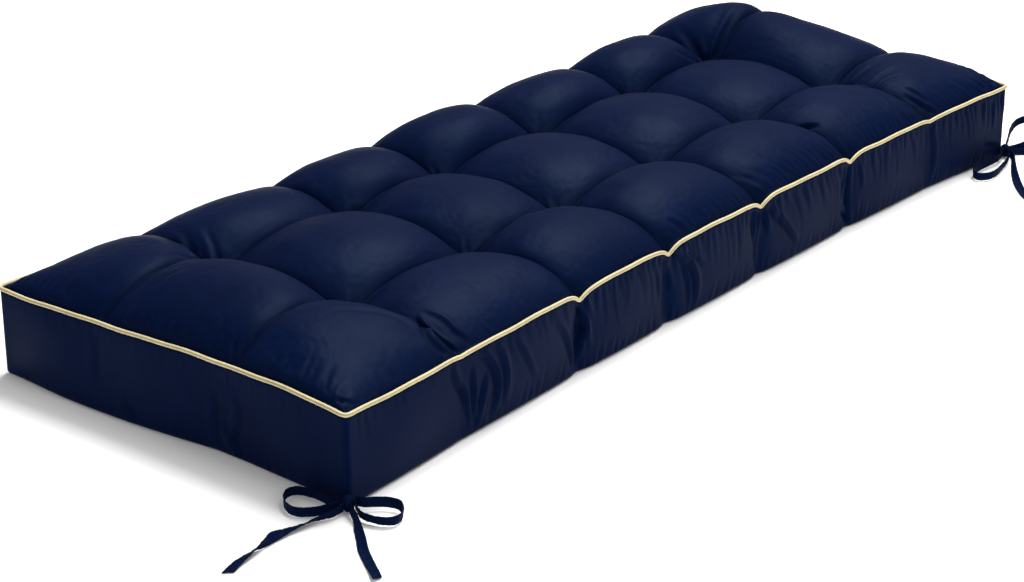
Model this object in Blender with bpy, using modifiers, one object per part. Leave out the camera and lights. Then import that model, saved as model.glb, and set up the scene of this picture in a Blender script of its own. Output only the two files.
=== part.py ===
"""Tufted bench cushion: a filled pad, the piping round its top edge and two tie bows.

Metres, +Z up. The origin is the middle of the underside, +X runs along the length, and
the two bows lie at the ends of the long side that faces -Y.
"""

import math

import bmesh
import bpy
import numpy as np
from mathutils import Vector

# ---- Driving dimensions -------------------------------------------------------------
LENGTH = 1.302  # corner to corner
WIDTH = 0.505  # corner to corner
EDGE_HEIGHT = 0.101  # piped edge above the surface the cushion lies on
VALLEY_HEIGHT = 0.120  # sewn valleys, half way between two tufts
# From the last tufts to the two ends the valleys fade out. Columns: -X end, +X end.
END_VALLEY_HEIGHTS = {
    "near_line": (0.138, 0.126),
    "far_line": (0.132, 0.156),
}
TUFT_HEIGHT = 0.096  # bottom of each tuft

# Tops of the puffs, from the -X end to the +X end. The filling is a little uneven.
CRESTS = {
    "near_row": (0.141, 0.136, 0.139, 0.142, 0.141, 0.140, 0.140),
    "middle_row": (0.152, 0.151, 0.144, 0.146, 0.148, 0.145, 0.158),
    "far_row": (0.138, 0.142, 0.145, 0.153, 0.150, 0.152, 0.157),
}

# Where the tuft lines cross the cushion. The hand-tied tufts are a little uneven.
COLUMN_LINES = (-0.478, -0.275, -0.108, 0.080, 0.278, 0.463)
ROW_LINES = (-0.097, 0.097)

LONG_SIDE_DRAW_IN = 0.020  # how far the sides pull in between the corners
SIDE_DRAW_POWER = 3  # above 2, they curve most near the corners
DRAW_IN_SKEW = 0.25  # the +X half pulls in more than the -X half
END_DRAW_IN = 0.006
NEAR_EDGE_LEAN = 0.016  # the tuft lines end this far towards +X at the side with the bows
LEAN_EVENNESS = 4  # high, they all lean alike but those near the corners
LEAN_FADE = 3  # power with which the lean fades away from that side
LONG_EDGE_SAG = 0.004  # between the corners the piped edge above the bows' side lies lower
END_RISE = 0.008  # the short ends' piped edge rises on the bows' half
END_RISE_SKEW = 0.25  # share of that rise which the middle has
EDGE_FADE = 12  # power with which the edge's own rises and dips fade away from it

# The piped edge dips where a line of tufts reaches a long side, one value for each line.
NOTCH_DEPTHS = (0.002, 0.011, 0.011, 0.010, 0.010, 0.003)
NOTCH_REACH = 0.011
NOTCH_ROUNDING = 1.3  # 1 is a sharp V, 2 a soft dip
NOTCH_PULL_IN = 0.003
NOTCH_PULL_FADE = 6  # power with which that pull fades away from the rim
FAR_SIDE_NOTCH_SHARE = 0.6

DOME_POWER = 2.3  # fullness of a puff across its middle
VALLEY_POWER = 0.72  # below 1, a puff rolls steeply into its sewn valley
SEAM_POWER = 0.65  # towards the piped edge of a long side
END_SEAM_POWER = 0.4  # and towards that of a short side

WALL_BULGE = 0.004
WALL_CREASE = 0.005  # depth of the upright creases below the notches
END_FOOT_SWELL = 0.010  # how far the end walls' foot swells out, on the half away from the bows
END_FOOT_PINCH = 0.004  # and how far it pulls in on the other half
FOOT_SWELL_MIDDLE = 0.45  # where the swell is fullest, as a share of half the width
FOOT_SWELL_SPAN = 1.1  # how long it is, as a share of half the width
CORNER_TRIM = 0.002  # takes the sharp point off the corners in plan
PIPING_SEAT = 0.0038  # bevel along the top edge that the piping lies in
FOOT_ROUND = 0.006  # roll of the bottom edge
FOOT_ROLL_MIDDLE = 0.3 * FOOT_ROUND  # height and inset half way round that roll
UNDERSIDE_VALLEY = 0.010
UNDERSIDE_TUFT = 0.024
UNDERSIDE_SAG = 0.016  # how far the puffs would hang below the surface they flatten on

PIPING_RADIUS = 0.0024
PIPING_ROUNDNESS = 2  # bevel steps of the round section
GAP = 0.0003  # sewn pieces stay this far apart
OUTLET_GAP = 0.0006  # and a slanting ribbon's end this far from its knot

RIBBON_WIDTH = 0.0105
RIBBON_THICKNESS = 0.0014
RIBBON_STEPS = 28
KNOT_RADII = Vector((0.0080, 0.0072, 0.0092))  # across the corner, out from it, up
KNOT_FLAT = 0.8  # its back is pressed flat at this share of its depth
KNOT_SEGMENTS = 16
KNOT_RINGS = 10

# ---- Lattice ------------------------------------------------------------------------
STEPS_PER_PUFF = 8
COLUMNS = len(COLUMN_LINES) + 1
ROWS = len(ROW_LINES) + 1
LATTICE_X = COLUMNS * STEPS_PER_PUFF
LATTICE_Y = ROWS * STEPS_PER_PUFF
WALL_ROWS = 6

# Rows of the side wall, from the floor up: height as a share of the stretch between the
# foot's roll and the piping seat, how much of the roll is still to go, share of the bulge.
WALL_TABLE = (
    {"climb": None, "height": 0.0, "inset": FOOT_ROUND, "bulge": 0.0},
    {"climb": None, "height": FOOT_ROLL_MIDDLE, "inset": FOOT_ROLL_MIDDLE, "bulge": 0.0},
    {"climb": 0.0, "height": FOOT_ROUND, "inset": 0.0, "bulge": 0.35},
    {"climb": 0.36, "height": None, "inset": 0.0, "bulge": 1.0},
    {"climb": 0.72, "height": None, "inset": 0.0, "bulge": 0.8},
    {"climb": 1.0, "height": None, "inset": 0.0, "bulge": 0.0},
)

SHARP_DEGREES = 50.0  # edges that turn by more than this stay crisp

CLOTHS = {
    "navy_cloth": {"colour": (0.012, 0.022, 0.075), "roughness": 0.55},
    "cream_piping": {"colour": (0.72, 0.64, 0.38), "roughness": 0.6},
    "navy_tie": {"colour": (0.012, 0.022, 0.07), "roughness": 0.5},
}


def cloth(name):
    """A material for one of the cloths."""
    made = bpy.data.materials.new(name)
    made.use_nodes = True
    shader = made.node_tree.nodes["Principled BSDF"]
    colour = (*CLOTHS[name]["colour"], 1.0)
    shader.inputs["Base Color"].default_value = colour
    shader.inputs["Roughness"].default_value = CLOTHS[name]["roughness"]
    made.diffuse_color = colour
    return made


def cell_lattice(lines, count):
    """Lattice positions across one direction of the cushion.

    Each stretch between two lines has STEPS_PER_PUFF steps, closer together near the
    lines. Returns the positions, the stretch each belongs to, and its place in the
    stretch from -1 to 1.
    """
    index = np.arange(count + 1)
    cell = np.minimum(index // STEPS_PER_PUFF, len(lines) - 2)
    step = index - cell * STEPS_PER_PUFF
    place = np.sin(0.5 * np.pi * (2 * step / STEPS_PER_PUFF - 1))
    lines = np.asarray(lines)
    middle = 0.5 * (lines[cell] + lines[cell + 1])
    half = 0.5 * (lines[cell + 1] - lines[cell])
    return middle + half * place, cell, place


def panel_lattice(inset):
    """The lattice of a panel whose rim lies inset inside the cushion's outline."""
    x_lines = (-LENGTH / 2 + inset, *COLUMN_LINES, LENGTH / 2 - inset)
    y_lines = (-WIDTH / 2 + inset, *ROW_LINES, WIDTH / 2 - inset)
    return cell_lattice(x_lines, LATTICE_X), cell_lattice(y_lines, LATTICE_Y)


def notch(x, y):
    """How deep the piped edge dips at x on the long side that y lies on."""
    share = FAR_SIDE_NOTCH_SHARE if y > 0 else 1.0
    dip = 0.0
    for line, depth in zip(COLUMN_LINES, NOTCH_DEPTHS):
        away = abs(x - line) / NOTCH_REACH
        dip = max(dip, depth * math.exp(-(away**NOTCH_ROUNDING)))
    return dip * share


def edge_height(x, y):
    """Height of the top edge at a point of the outline."""
    v = max(-1.0, min(1.0, 2 * y / WIDTH))
    at_end = abs(2 * x / LENGTH) ** EDGE_FADE
    rise = at_end * END_RISE * (1 - v * v) * (END_RISE_SKEW - v)
    sag = (1 - at_end) * LONG_EDGE_SAG if v < 0 else 0.0
    return EDGE_HEIGHT + rise - sag - notch(x, y) * abs(v) ** EDGE_FADE


def drawn_in(x, y):
    """Plan position of a point once the sides have pulled in between the corners."""
    u = 2 * x / LENGTH
    v = 2 * y / WIDTH
    side = LONG_SIDE_DRAW_IN * (1 - abs(u) ** SIDE_DRAW_POWER) * (1 + DRAW_IN_SKEW * u)
    side += NOTCH_PULL_IN * notch(x, y) / max(NOTCH_DEPTHS) * abs(v) ** NOTCH_PULL_FADE
    end = END_DRAW_IN * (1 - v * v)
    lean = NEAR_EDGE_LEAN * (1 - abs(u) ** LEAN_EVENNESS) * max(0.0, -v) ** LEAN_FADE
    return x - u * end + lean, y - v * side


def support_heights():
    """Heights at the crossings and middles of the sewn lines, two steps to a puff.

    Odd, odd entries are puff middles. The rim has the height of the piped edge.
    """
    x_lines = (-LENGTH / 2, *COLUMN_LINES, LENGTH / 2)
    y_lines = (-WIDTH / 2, *ROW_LINES, WIDTH / 2)
    end_valleys = tuple(END_VALLEY_HEIGHTS.values())
    heights = np.empty((2 * COLUMNS + 1, 2 * ROWS + 1))
    for i in range(2 * COLUMNS + 1):
        x = 0.5 * (x_lines[i // 2] + x_lines[(i + 1) // 2])
        for j in range(2 * ROWS + 1):
            y = 0.5 * (y_lines[j // 2] + y_lines[(j + 1) // 2])
            if i in (0, 2 * COLUMNS) or j in (0, 2 * ROWS):
                heights[i, j] = edge_height(x, y)
            elif i % 2 == 0 and j % 2 == 0:
                heights[i, j] = TUFT_HEIGHT
            elif j % 2 == 0 and i in (1, 2 * COLUMNS - 1):
                heights[i, j] = end_valleys[j // 2 - 1][0 if i == 1 else 1]
            else:
                heights[i, j] = VALLEY_HEIGHT
    for i in range(1, 2 * COLUMNS, 2):
        for j in range(1, 2 * ROWS, 2):
            around = heights[i - 1, j], heights[i + 1, j], heights[i, j - 1], heights[i, j + 1]
            heights[i, j] = sum(around) / len(around)
    return heights


def weights(place):
    """Shares of the two ends and the middle of a stretch, for a parabola through them."""
    return place * (place - 1) / 2, 1 - place**2, place * (place + 1) / 2


def dome(place, first, last, seam_power):
    """Rise of a puff across one direction: 1 in its middle and 0 at its sewn lines.

    first and last say that the puff's low or high side is the piped edge.
    """
    at_seam = (first and place < 0) or (last and place > 0)
    return max(0.0, 1 - abs(place) ** DOME_POWER) ** (
        seam_power if at_seam else VALLEY_POWER
    )


def top_height(supports, column, s, row, t):
    """Height of the top panel at a place inside one puff."""
    base = 0.0
    for a, along in enumerate(weights(s)):
        for b, across in enumerate(weights(t)):
            base += along * across * supports[2 * column + a, 2 * row + b]
    crest = tuple(CRESTS.values())[row][column]
    rise = crest - supports[2 * column + 1, 2 * row + 1]
    lengthwise = dome(s, column == 0, column == COLUMNS - 1, END_SEAM_POWER)
    crosswise = dome(t, row == 0, row == ROWS - 1, SEAM_POWER)
    return base + rise * lengthwise * crosswise


def underside_height(s, t):
    """Height of the underside, which is flat where the puffs press on the surface."""
    crossing = s * s * t * t
    lines = UNDERSIDE_VALLEY + (UNDERSIDE_TUFT - UNDERSIDE_VALLEY) * crossing
    puff = ((1 - abs(s) ** DOME_POWER) * (1 - abs(t) ** DOME_POWER)) ** VALLEY_POWER
    return max(0.0, lines - (UNDERSIDE_VALLEY + UNDERSIDE_SAG) * puff)


def foot_swell(v):
    """How far an end wall's foot stands out at v, from -1 at the bows' side to 1."""
    wave = math.cos(math.pi * (v - FOOT_SWELL_MIDDLE) / FOOT_SWELL_SPAN)
    return max(-END_FOOT_PINCH, END_FOOT_SWELL * wave * (1 - v**4))


def outward(i, j):
    """Which way the side wall faces at a rim vertex: a corner faces both ways."""
    return (i == LATTICE_X) - (i == 0), (j == LATTICE_Y) - (j == 0)


def outline_point(x_lattice, y_lattice, i, j):
    """Plan position of a rim vertex and the height of the piped edge there."""
    x, y = float(x_lattice[0][i]), float(y_lattice[0][j])
    out_x, out_y = outward(i, j)
    plan_x, plan_y = drawn_in(x, y)
    if out_x and out_y:
        plan_x -= out_x * CORNER_TRIM
        plan_y -= out_y * CORNER_TRIM
    return plan_x, plan_y, edge_height(x, y)


def wall_point(x_lattice, y_lattice, i, j, k):
    """A vertex of the side wall."""
    plan_x, plan_y, top = outline_point(x_lattice, y_lattice, i, j)
    out_x, out_y = outward(i, j)
    row = WALL_TABLE[k]
    low, high = FOOT_ROUND, top - PIPING_SEAT
    height = row["height"] if row["climb"] is None else low + (high - low) * row["climb"]
    s = float(x_lattice[2][i]) if out_y else float(y_lattice[2][j])
    swell = 0.0
    if not (out_x and out_y):
        swell = row["bulge"] * WALL_BULGE * (1 - s * s) ** 2
        if out_y:
            dip = notch(float(x_lattice[0][i]), float(y_lattice[0][j]))
            swell -= row["bulge"] * WALL_CREASE * dip / max(NOTCH_DEPTHS)
        else:
            swell += (1 - (row["climb"] or 0.0)) * foot_swell(2 * plan_y / WIDTH)
    push = swell - row["inset"]
    return plan_x + out_x * push, plan_y + out_y * push, height


def lattice_block(counts):
    """A unit cube cut into counts steps each way, and its vertices' lattice places."""
    mesh = bmesh.new()
    bmesh.ops.create_cube(mesh, size=1.0)
    for axis, count in enumerate(counts):
        along = [e for e in mesh.edges if abs((e.verts[0].co - e.verts[1].co)[axis]) > 0.5]
        bmesh.ops.subdivide_edges(mesh, edges=along, cuts=count - 1, use_grid_fill=True)
    places = [[round((v.co[a] + 0.5) * counts[a]) for a in range(3)] for v in mesh.verts]
    return mesh, places


def finish(mesh, name, look, collection):
    """Turns a bmesh into a smooth shaded object in the collection."""
    mesh.normal_update()
    bmesh.ops.recalc_face_normals(mesh, faces=mesh.faces)
    data = bpy.data.meshes.new(name)
    mesh.to_mesh(data)
    mesh.free()
    data.materials.append(look)
    data.shade_smooth()
    data.set_sharp_from_angle(angle=math.radians(SHARP_DEGREES))
    made = bpy.data.objects.new(name, data)
    collection.objects.link(made)
    return made


def build_pad(look, collection):
    """The filled pad: one closed solid with its puffs, valleys, tufts and side walls."""
    mesh, places = lattice_block((LATTICE_X, LATTICE_Y, WALL_ROWS))
    outline = panel_lattice(0.0)
    top = panel_lattice(PIPING_SEAT)
    foot = panel_lattice(FOOT_ROUND)
    supports = support_heights()
    for vertex, (i, j, k) in zip(mesh.verts, places):
        on_rim = i in (0, LATTICE_X) or j in (0, LATTICE_Y)
        if on_rim and k < WALL_ROWS:
            vertex.co = wall_point(*outline, i, j, k)
        elif on_rim:
            x, y, z = outline_point(*outline, i, j)
            out_x, out_y = outward(i, j)
            vertex.co = (x - out_x * PIPING_SEAT, y - out_y * PIPING_SEAT, z)
        else:
            (xs, columns, s), (ys, rows, t) = top if k else foot
            x, y = drawn_in(float(xs[i]), float(ys[j]))
            if k:
                z = top_height(supports, columns[i], s[i], rows[j], t[j])
            else:
                z = underside_height(s[i], t[j])
            vertex.co = (x, y, z)
    return finish(mesh, "pad", look, collection)


def rim_indices():
    """Lattice places of the rim in order round the cushion."""
    near = [(i, 0) for i in range(LATTICE_X)]
    right = [(LATTICE_X, j) for j in range(LATTICE_Y)]
    far = [(i, LATTICE_Y) for i in range(LATTICE_X, 0, -1)]
    left = [(0, j) for j in range(LATTICE_Y, 0, -1)]
    return near + right + far + left


def build_piping(look, collection):
    """The round piping, a closed ring that lies in the bevel of the top edge.

    Where the edge slopes into a notch the ring stands off a little more, so that it
    keeps its gap to the bevel: a bevel that slopes by b has its face turned, and a step
    of a outward and a up clears it by 2 a cos(b) / sqrt(1 + cos(b)^2).
    """
    outline = panel_lattice(0.0)
    rim = rim_indices()
    edge = np.array([outline_point(*outline, i, j) for i, j in rim])
    faces = np.array([outward(i, j) for i, j in rim], dtype=float)
    forward = np.roll(edge, -1, axis=0) - edge
    level = np.linalg.norm(forward[:, :2], axis=1) / np.linalg.norm(forward, axis=1)
    level = np.minimum(level, np.roll(level, 1))
    clear = PIPING_RADIUS + GAP
    step = clear * np.sqrt(1 + level**2) / (2 * level) - PIPING_SEAT / 2
    curve = bpy.data.curves.new("piping", "CURVE")
    curve.dimensions = "3D"
    curve.twist_mode = "Z_UP"
    curve.bevel_depth = PIPING_RADIUS
    curve.bevel_resolution = PIPING_ROUNDNESS
    spline = curve.splines.new("POLY")
    spline.points.add(len(rim) - 1)
    for point, place, face, out in zip(spline.points, edge, faces, step):
        point.co = (*(place + out * np.array([face[0], face[1], 1.0])), 1.0)
    spline.use_cyclic_u = True
    curve.materials.append(look)
    made = bpy.data.objects.new("piping", curve)
    collection.objects.link(made)
    return made


def smooth_route(stations, steps):
    """Points of a smooth curve through the stations, which may have any columns.

    Between two stations the curve is the cubic whose slope at each is half the step
    between that station's neighbours.
    """
    points = np.array(stations, dtype=float)
    slopes = np.gradient(points, axis=0)
    spot = np.linspace(0, len(points) - 1, steps + 1)
    start = np.minimum(spot.astype(int), len(points) - 2)
    f = (spot - start)[:, None]
    a, b = points[start], points[start + 1]
    ma, mb = slopes[start], slopes[start + 1]
    return (
        (2 * f**3 - 3 * f**2 + 1) * a
        + (f**3 - 2 * f**2 + f) * ma
        + (3 * f**2 - 2 * f**3) * b
        + (f**3 - f**2) * mb
    )


class Bow:
    """The place of a bow at a corner of the cushion: its knot and where ribbons leave it."""

    def __init__(self, side, toward_x):
        self.side = side
        self.corner = Vector((toward_x * LENGTH / 2, -WIDTH / 2, 0))
        self.facing = Vector((toward_x, -1, 0)).normalized()
        self.wide = Vector((0, 0, 1)).cross(self.facing)
        trimmed = self.corner - Vector((toward_x, -1, 0)) * CORNER_TRIM
        self.centre = trimmed + self.facing * (KNOT_RADII.y * KNOT_FLAT + GAP)
        self.centre.z = KNOT_RADII.z + GAP

    def outlet(self, bearing, height, roll):
        """A station just off the knot, at a bearing in degrees from +X and a height in mm."""
        turn = math.radians(bearing)
        level = Vector((math.cos(turn), math.sin(turn), 0))
        rise = height / 1000 - self.centre.z
        ring = math.sqrt(max(0.0, 1 - (rise / KNOT_RADII.z) ** 2))
        across = level.dot(self.wide) / KNOT_RADII.x
        out = level.dot(self.facing) / KNOT_RADII.y
        reach = ring / math.hypot(across, out) + OUTLET_GAP
        place = (self.centre + level * reach - self.corner) * 1000
        return place.x, place.y, height, roll


def build_ribbon(name, bow, stations, look, collection):
    """A flat tie ribbon along stations of x, y, z in millimetres and a roll in degrees.

    x and y are measured from the cushion's corner. A roll of 0 lies flat and 90 stands
    on edge.
    """
    route = smooth_route(stations, RIBBON_STEPS)
    centre = route[:, :3] / 1000 + np.array(bow.corner)
    along = np.gradient(centre, axis=0)
    level = np.stack([-along[:, 1], along[:, 0], np.zeros(len(along))], axis=1)
    level /= np.linalg.norm(level, axis=1)[:, None]
    roll = np.radians(route[:, 3])[:, None]
    across = level * np.cos(roll) + np.array([0.0, 0.0, 1.0]) * np.sin(roll)
    mesh = bmesh.new()
    bmesh.ops.create_grid(mesh, x_segments=RIBBON_STEPS, y_segments=1, size=0.5)
    for vertex in mesh.verts:
        step = round((vertex.co.x + 0.5) * RIBBON_STEPS)
        side = 1 if vertex.co.y > 0 else -1
        vertex.co = centre[step] + across[step] * side * RIBBON_WIDTH / 2
    ribbon = finish(mesh, name, look, collection)
    shell = ribbon.modifiers.new("thickness", "SOLIDIFY")
    shell.thickness = RIBBON_THICKNESS
    shell.offset = 0.0
    return ribbon


def build_knot(name, bow, look, collection):
    """The knot of a bow, a soft lump that is pressed flat against the cushion's corner."""
    mesh = bmesh.new()
    bmesh.ops.create_uvsphere(
        mesh, u_segments=KNOT_SEGMENTS, v_segments=KNOT_RINGS, radius=1.0
    )
    for vertex in mesh.verts:
        across, out, up = vertex.co
        out = max(-KNOT_FLAT, out)
        place = bow.centre + bow.wide * (across * KNOT_RADII.x)
        vertex.co = place + bow.facing * (out * KNOT_RADII.y) + Vector((0, 0, up * KNOT_RADII.z))
    return finish(mesh, name, look, collection)


# The ribbons of each bow. A route starts at its outlet on the knot, and a loop ends at a
# second one. Columns of a station: x, y and z in millimetres from the corner's foot, and
# roll in degrees. Columns of an outlet: bearing in degrees, height in millimetres, roll.
BOWS = (
    {
        "side": "left",
        "toward_x": -1,
        "loop_in": {
            "outlet": (110, 10.0, 90),
            "stations": (
                (-9, 16, 9, 90), (-8, 32, 9, 88), (-8, 46, 8, 86), (-12, 58, 7.5, 86),
                (-22, 61, 7, 88), (-33, 54, 7, 90), (-42, 41, 7, 90), (-43, 28, 7, 90),
                (-35, 16, 7.5, 88), (-25, 8, 8.5, 88),
            ),
            "return": (150, 9.5, 88),
        },
        "loop_out": {
            "outlet": (-20, 10.0, 90),
            "stations": (
                (9, -13, 9.5, 84), (18, -21, 9, 76), (26, -31, 8.5, 72), (28, -43, 8, 76),
                (19, -54, 7, 84), (6, -58, 6.5, 84), (-4, -50, 6.5, 78), (-9, -36, 7, 74),
                (-9, -24, 8, 80),
            ),
            "return": (-78, 9.5, 86),
        },
        "tail_in": {
            "outlet": (188, 8.5, 84),
            "stations": (
                (-24, -2, 7, 72), (-37, 4, 5.5, 55), (-53, 9, 4, 30), (-73, 13, 3.5, 0),
                (-91, 12, 5.5, -50), (-104, 9, 6.5, -88), (-121, 9, 4.5, -140),
                (-143, 7, 2.5, -172), (-162, 2, 1.5, -180),
            ),
        },
        "tail_out": {
            "outlet": (-122, 8.5, 84),
            "stations": (
                (-16, -24, 7, 70), (-25, -35, 5, 50), (-38, -51, 3.2, 28), (-53, -68, 2, 10),
                (-67, -88, 1.4, 2), (-77, -103, 1.8, -4), (-85, -114, 3, -12),
            ),
        },
    },
    {
        "side": "right",
        "toward_x": 1,
        "loop_in": {
            "outlet": (-128, 9.5, 88),
            "stations": (
                (-14, -17, 8.5, 86), (-32, -23, 7.5, 86), (-54, -28, 7, 88), (-76, -32, 6.5, 90),
                (-94, -30, 6.5, 90), (-103, -20, 6.5, 90), (-95, -9, 7, 88), (-74, -6, 8, 86),
                (-50, -8, 9, 88), (-28, -9, 9.5, 90),
            ),
            "return": (-168, 10.0, 90),
        },
        "loop_out": {
            "outlet": (24, 11.5, 90),
            "stations": (
                (24, 6, 17, 88), (44, 13, 24, 84), (64, 15, 29, 84), (80, 8, 31, 88),
                (86, -6, 29, 90), (78, -17, 24, 90), (60, -19, 18, 88), (38, -15, 12.5, 86),
                (22, -10, 10, 88),
            ),
            "return": (-12, 9.0, 90),
        },
        "tail_in": {
            "outlet": (-100, 8.5, 84),
            "stations": (
                (-10, -21, 7, 74), (-27, -31, 5.5, 60), (-52, -46, 4.5, 45), (-84, -68, 3.2, 22),
                (-111, -91, 2, 8), (-130, -112, 1.4, 0),
            ),
        },
        "tail_out": {
            "outlet": (-48, 8.5, 84),
            "stations": (
                (24, -22, 6.5, 66), (42, -26, 4, 36), (66, -32, 2.4, 12), (92, -42, 1.4, 2),
                (116, -56, 1.4, 0),
            ),
        },
    },
)


def build_bow(plan, look, collection):
    """A tied bow: its knot, two loops and two free ends."""
    bow = Bow(plan["side"], plan["toward_x"])
    build_knot(f"{bow.side}_knot", bow, look, collection)
    for part in ("loop_in", "loop_out", "tail_in", "tail_out"):
        route = plan[part]
        stations = [bow.outlet(*route["outlet"]), *route["stations"]]
        if "return" in route:
            stations.append(bow.outlet(*route["return"]))
        build_ribbon(f"{bow.side}_{part}", bow, stations, look, collection)


def remove_everything():
    """Empties the scene before the model is made."""
    for old in list(bpy.data.objects):
        bpy.data.objects.remove(old, do_unlink=True)


def main():
    """Makes the whole cushion in a collection of its own."""
    remove_everything()
    collection = bpy.data.collections.new("bench_cushion")
    bpy.context.scene.collection.children.link(collection)
    build_pad(cloth("navy_cloth"), collection)
    build_piping(cloth("cream_piping"), collection)
    tie_cloth = cloth("navy_tie")
    for plan in BOWS:
        build_bow(plan, tie_cloth, collection)


main()
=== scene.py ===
"""Looks of a tufted bench cushion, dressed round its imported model.

Metres, +Z up, in the model's own frame: +X runs along the cushion, and the two tie bows
lie at the ends of the long side that faces -Y. The pad is one filled form with its puffs,
valleys, tufts and side walls. Round its top edge runs the piping.
"""

import logging
import math
from dataclasses import dataclass, field
from enum import Enum
from typing import Iterable, Sequence

import bpy
import numpy as np
from mathutils import Matrix, Vector


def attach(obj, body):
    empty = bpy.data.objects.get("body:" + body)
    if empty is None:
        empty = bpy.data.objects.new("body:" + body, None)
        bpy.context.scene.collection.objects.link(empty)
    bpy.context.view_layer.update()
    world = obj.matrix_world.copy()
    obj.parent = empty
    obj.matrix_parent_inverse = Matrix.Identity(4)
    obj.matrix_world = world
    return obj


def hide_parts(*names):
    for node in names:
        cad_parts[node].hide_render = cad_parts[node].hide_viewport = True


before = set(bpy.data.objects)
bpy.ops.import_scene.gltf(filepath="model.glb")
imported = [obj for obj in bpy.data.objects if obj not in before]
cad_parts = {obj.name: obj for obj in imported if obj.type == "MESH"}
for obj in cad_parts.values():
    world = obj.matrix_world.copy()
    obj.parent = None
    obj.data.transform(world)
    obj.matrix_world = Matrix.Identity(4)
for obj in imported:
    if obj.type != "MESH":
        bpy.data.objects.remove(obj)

Array = np.ndarray
Socket = bpy.types.NodeSocket
Source = Socket | float | tuple[float, ...] | None  # what a socket is fed with
Looks = dict[str, bpy.types.Material]  # by the name of the finish
LOG = logging.getLogger("bench_cushion")
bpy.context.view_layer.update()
ROOT_BODY = "root"
MM = 0.001
UP = np.array([0.0, 0.0, 1.0])
WEAVE_MAP = "weave"
HOLLOW = "hollow"


# ---- Shared geometry ----------------------------------------------------------------
def smooth_route(stations: Array, steps: int) -> Array:
    """Points of a smooth curve through stations, which may have any columns.

    Between two stations the curve is the cubic whose slope at each is half the step
    between that station's neighbours.

    Args:
        stations: One row for each station.
        steps: How many steps the whole curve is cut into.

    Returns:
        steps + 1 rows, evenly spaced in the stations' numbering.
    """
    points = np.asarray(stations, dtype=float)
    slopes = np.gradient(points, axis=0)
    spot = np.linspace(0, len(points) - 1, steps + 1)
    start = np.minimum(spot.astype(int), len(points) - 2)
    f = (spot - start)[:, None]
    a, b = points[start], points[start + 1]
    return (
        (2 * f**3 - 3 * f**2 + 1) * a
        + (f**3 - 2 * f**2 + f) * slopes[start]
        + (3 * f**2 - 2 * f**3) * b
        + (f**3 - f**2) * slopes[start + 1]
    )


def unit(vectors: Array) -> Array:
    """The vectors at length 1."""
    return vectors / np.maximum(np.linalg.norm(vectors, axis=-1, keepdims=True), 1e-12)


def smooth_step(value: Array, low: float, high: float) -> Array:
    """Rises from 0 at low to 1 at high, as 3 f^2 - 2 f^3."""
    f = np.clip((value - low) / (high - low), 0.0, 1.0)
    return f * f * (3 - 2 * f)


def closed_tangents(ring: Array) -> Array:
    """Unit directions along a closed ring of points."""
    return unit(np.roll(ring, -1, axis=0) - np.roll(ring, 1, axis=0))


def arc_lengths(ring: Array) -> Array:
    """Length along a closed ring up to each point, with the whole length at the end."""
    steps = np.linalg.norm(np.roll(ring, -1, axis=0) - ring, axis=1)
    return np.concatenate([[0.0], np.cumsum(steps)])


def grid_quads(ids: Array) -> Array:
    """Quads between the rows and columns of a grid of vertex numbers."""
    corners = ids[:-1, :-1], ids[1:, :-1], ids[1:, 1:], ids[:-1, 1:]
    return np.stack([corner.ravel() for corner in corners], axis=1)


def tube_quads(rings: int, sides: int, closed: bool) -> Array:
    """Quads of a tube whose vertices are numbered ring by ring.

    Args:
        rings: Number of rings.
        sides: Vertices in each ring.
        closed: Whether the last ring joins the first.

    Returns:
        One row of four vertex numbers for each quad, facing outward where a ring runs
        anticlockwise as seen from further along the tube.
    """
    ids = np.arange(rings * sides).reshape(rings, sides)
    ids = np.hstack([ids, ids[:, :1]])
    if closed:
        ids = np.vstack([ids, ids[:1]])
    return grid_quads(ids)[:, ::-1]


def make_piece(
    name: str, points: Array, faces: Sequence, weave: Array, hollow: Array | None = None
) -> bpy.types.Object:
    """A smooth shaded piece, with the map that its weave follows.

    Args:
        name: Name of the piece.
        points: One row of x, y, z for each vertex.
        faces: Vertex numbers of each face.
        weave: Distance along the cloth's two thread directions for each face corner.
        hollow: For each vertex, from 0 on a crest to 1 down in a fold; the material paints shade by
            it.

    Returns:
        The new object, in the scene.
    """
    mesh = bpy.data.meshes.new(name)
    mesh.from_pydata(points.tolist(), [], [list(map(int, face)) for face in faces])
    mesh.uv_layers.new(name=WEAVE_MAP).data.foreach_set("uv", weave.astype(np.float32).ravel())
    depth = mesh.attributes.new(HOLLOW, "FLOAT", "POINT")
    values = np.zeros(len(points)) if hollow is None else hollow
    depth.data.foreach_set("value", values.astype(np.float32))
    mesh.shade_smooth()
    mesh.update()
    piece = bpy.data.objects.new(name, mesh)
    bpy.context.scene.collection.objects.link(piece)
    return piece


# ---- Creases ------------------------------------------------------------------------
class Fade(Enum):
    """Towards which of its ends a crease fades."""

    BOTH_ENDS = "it is deepest in its middle"
    FAR_END = "it is deepest at its first station"


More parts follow.
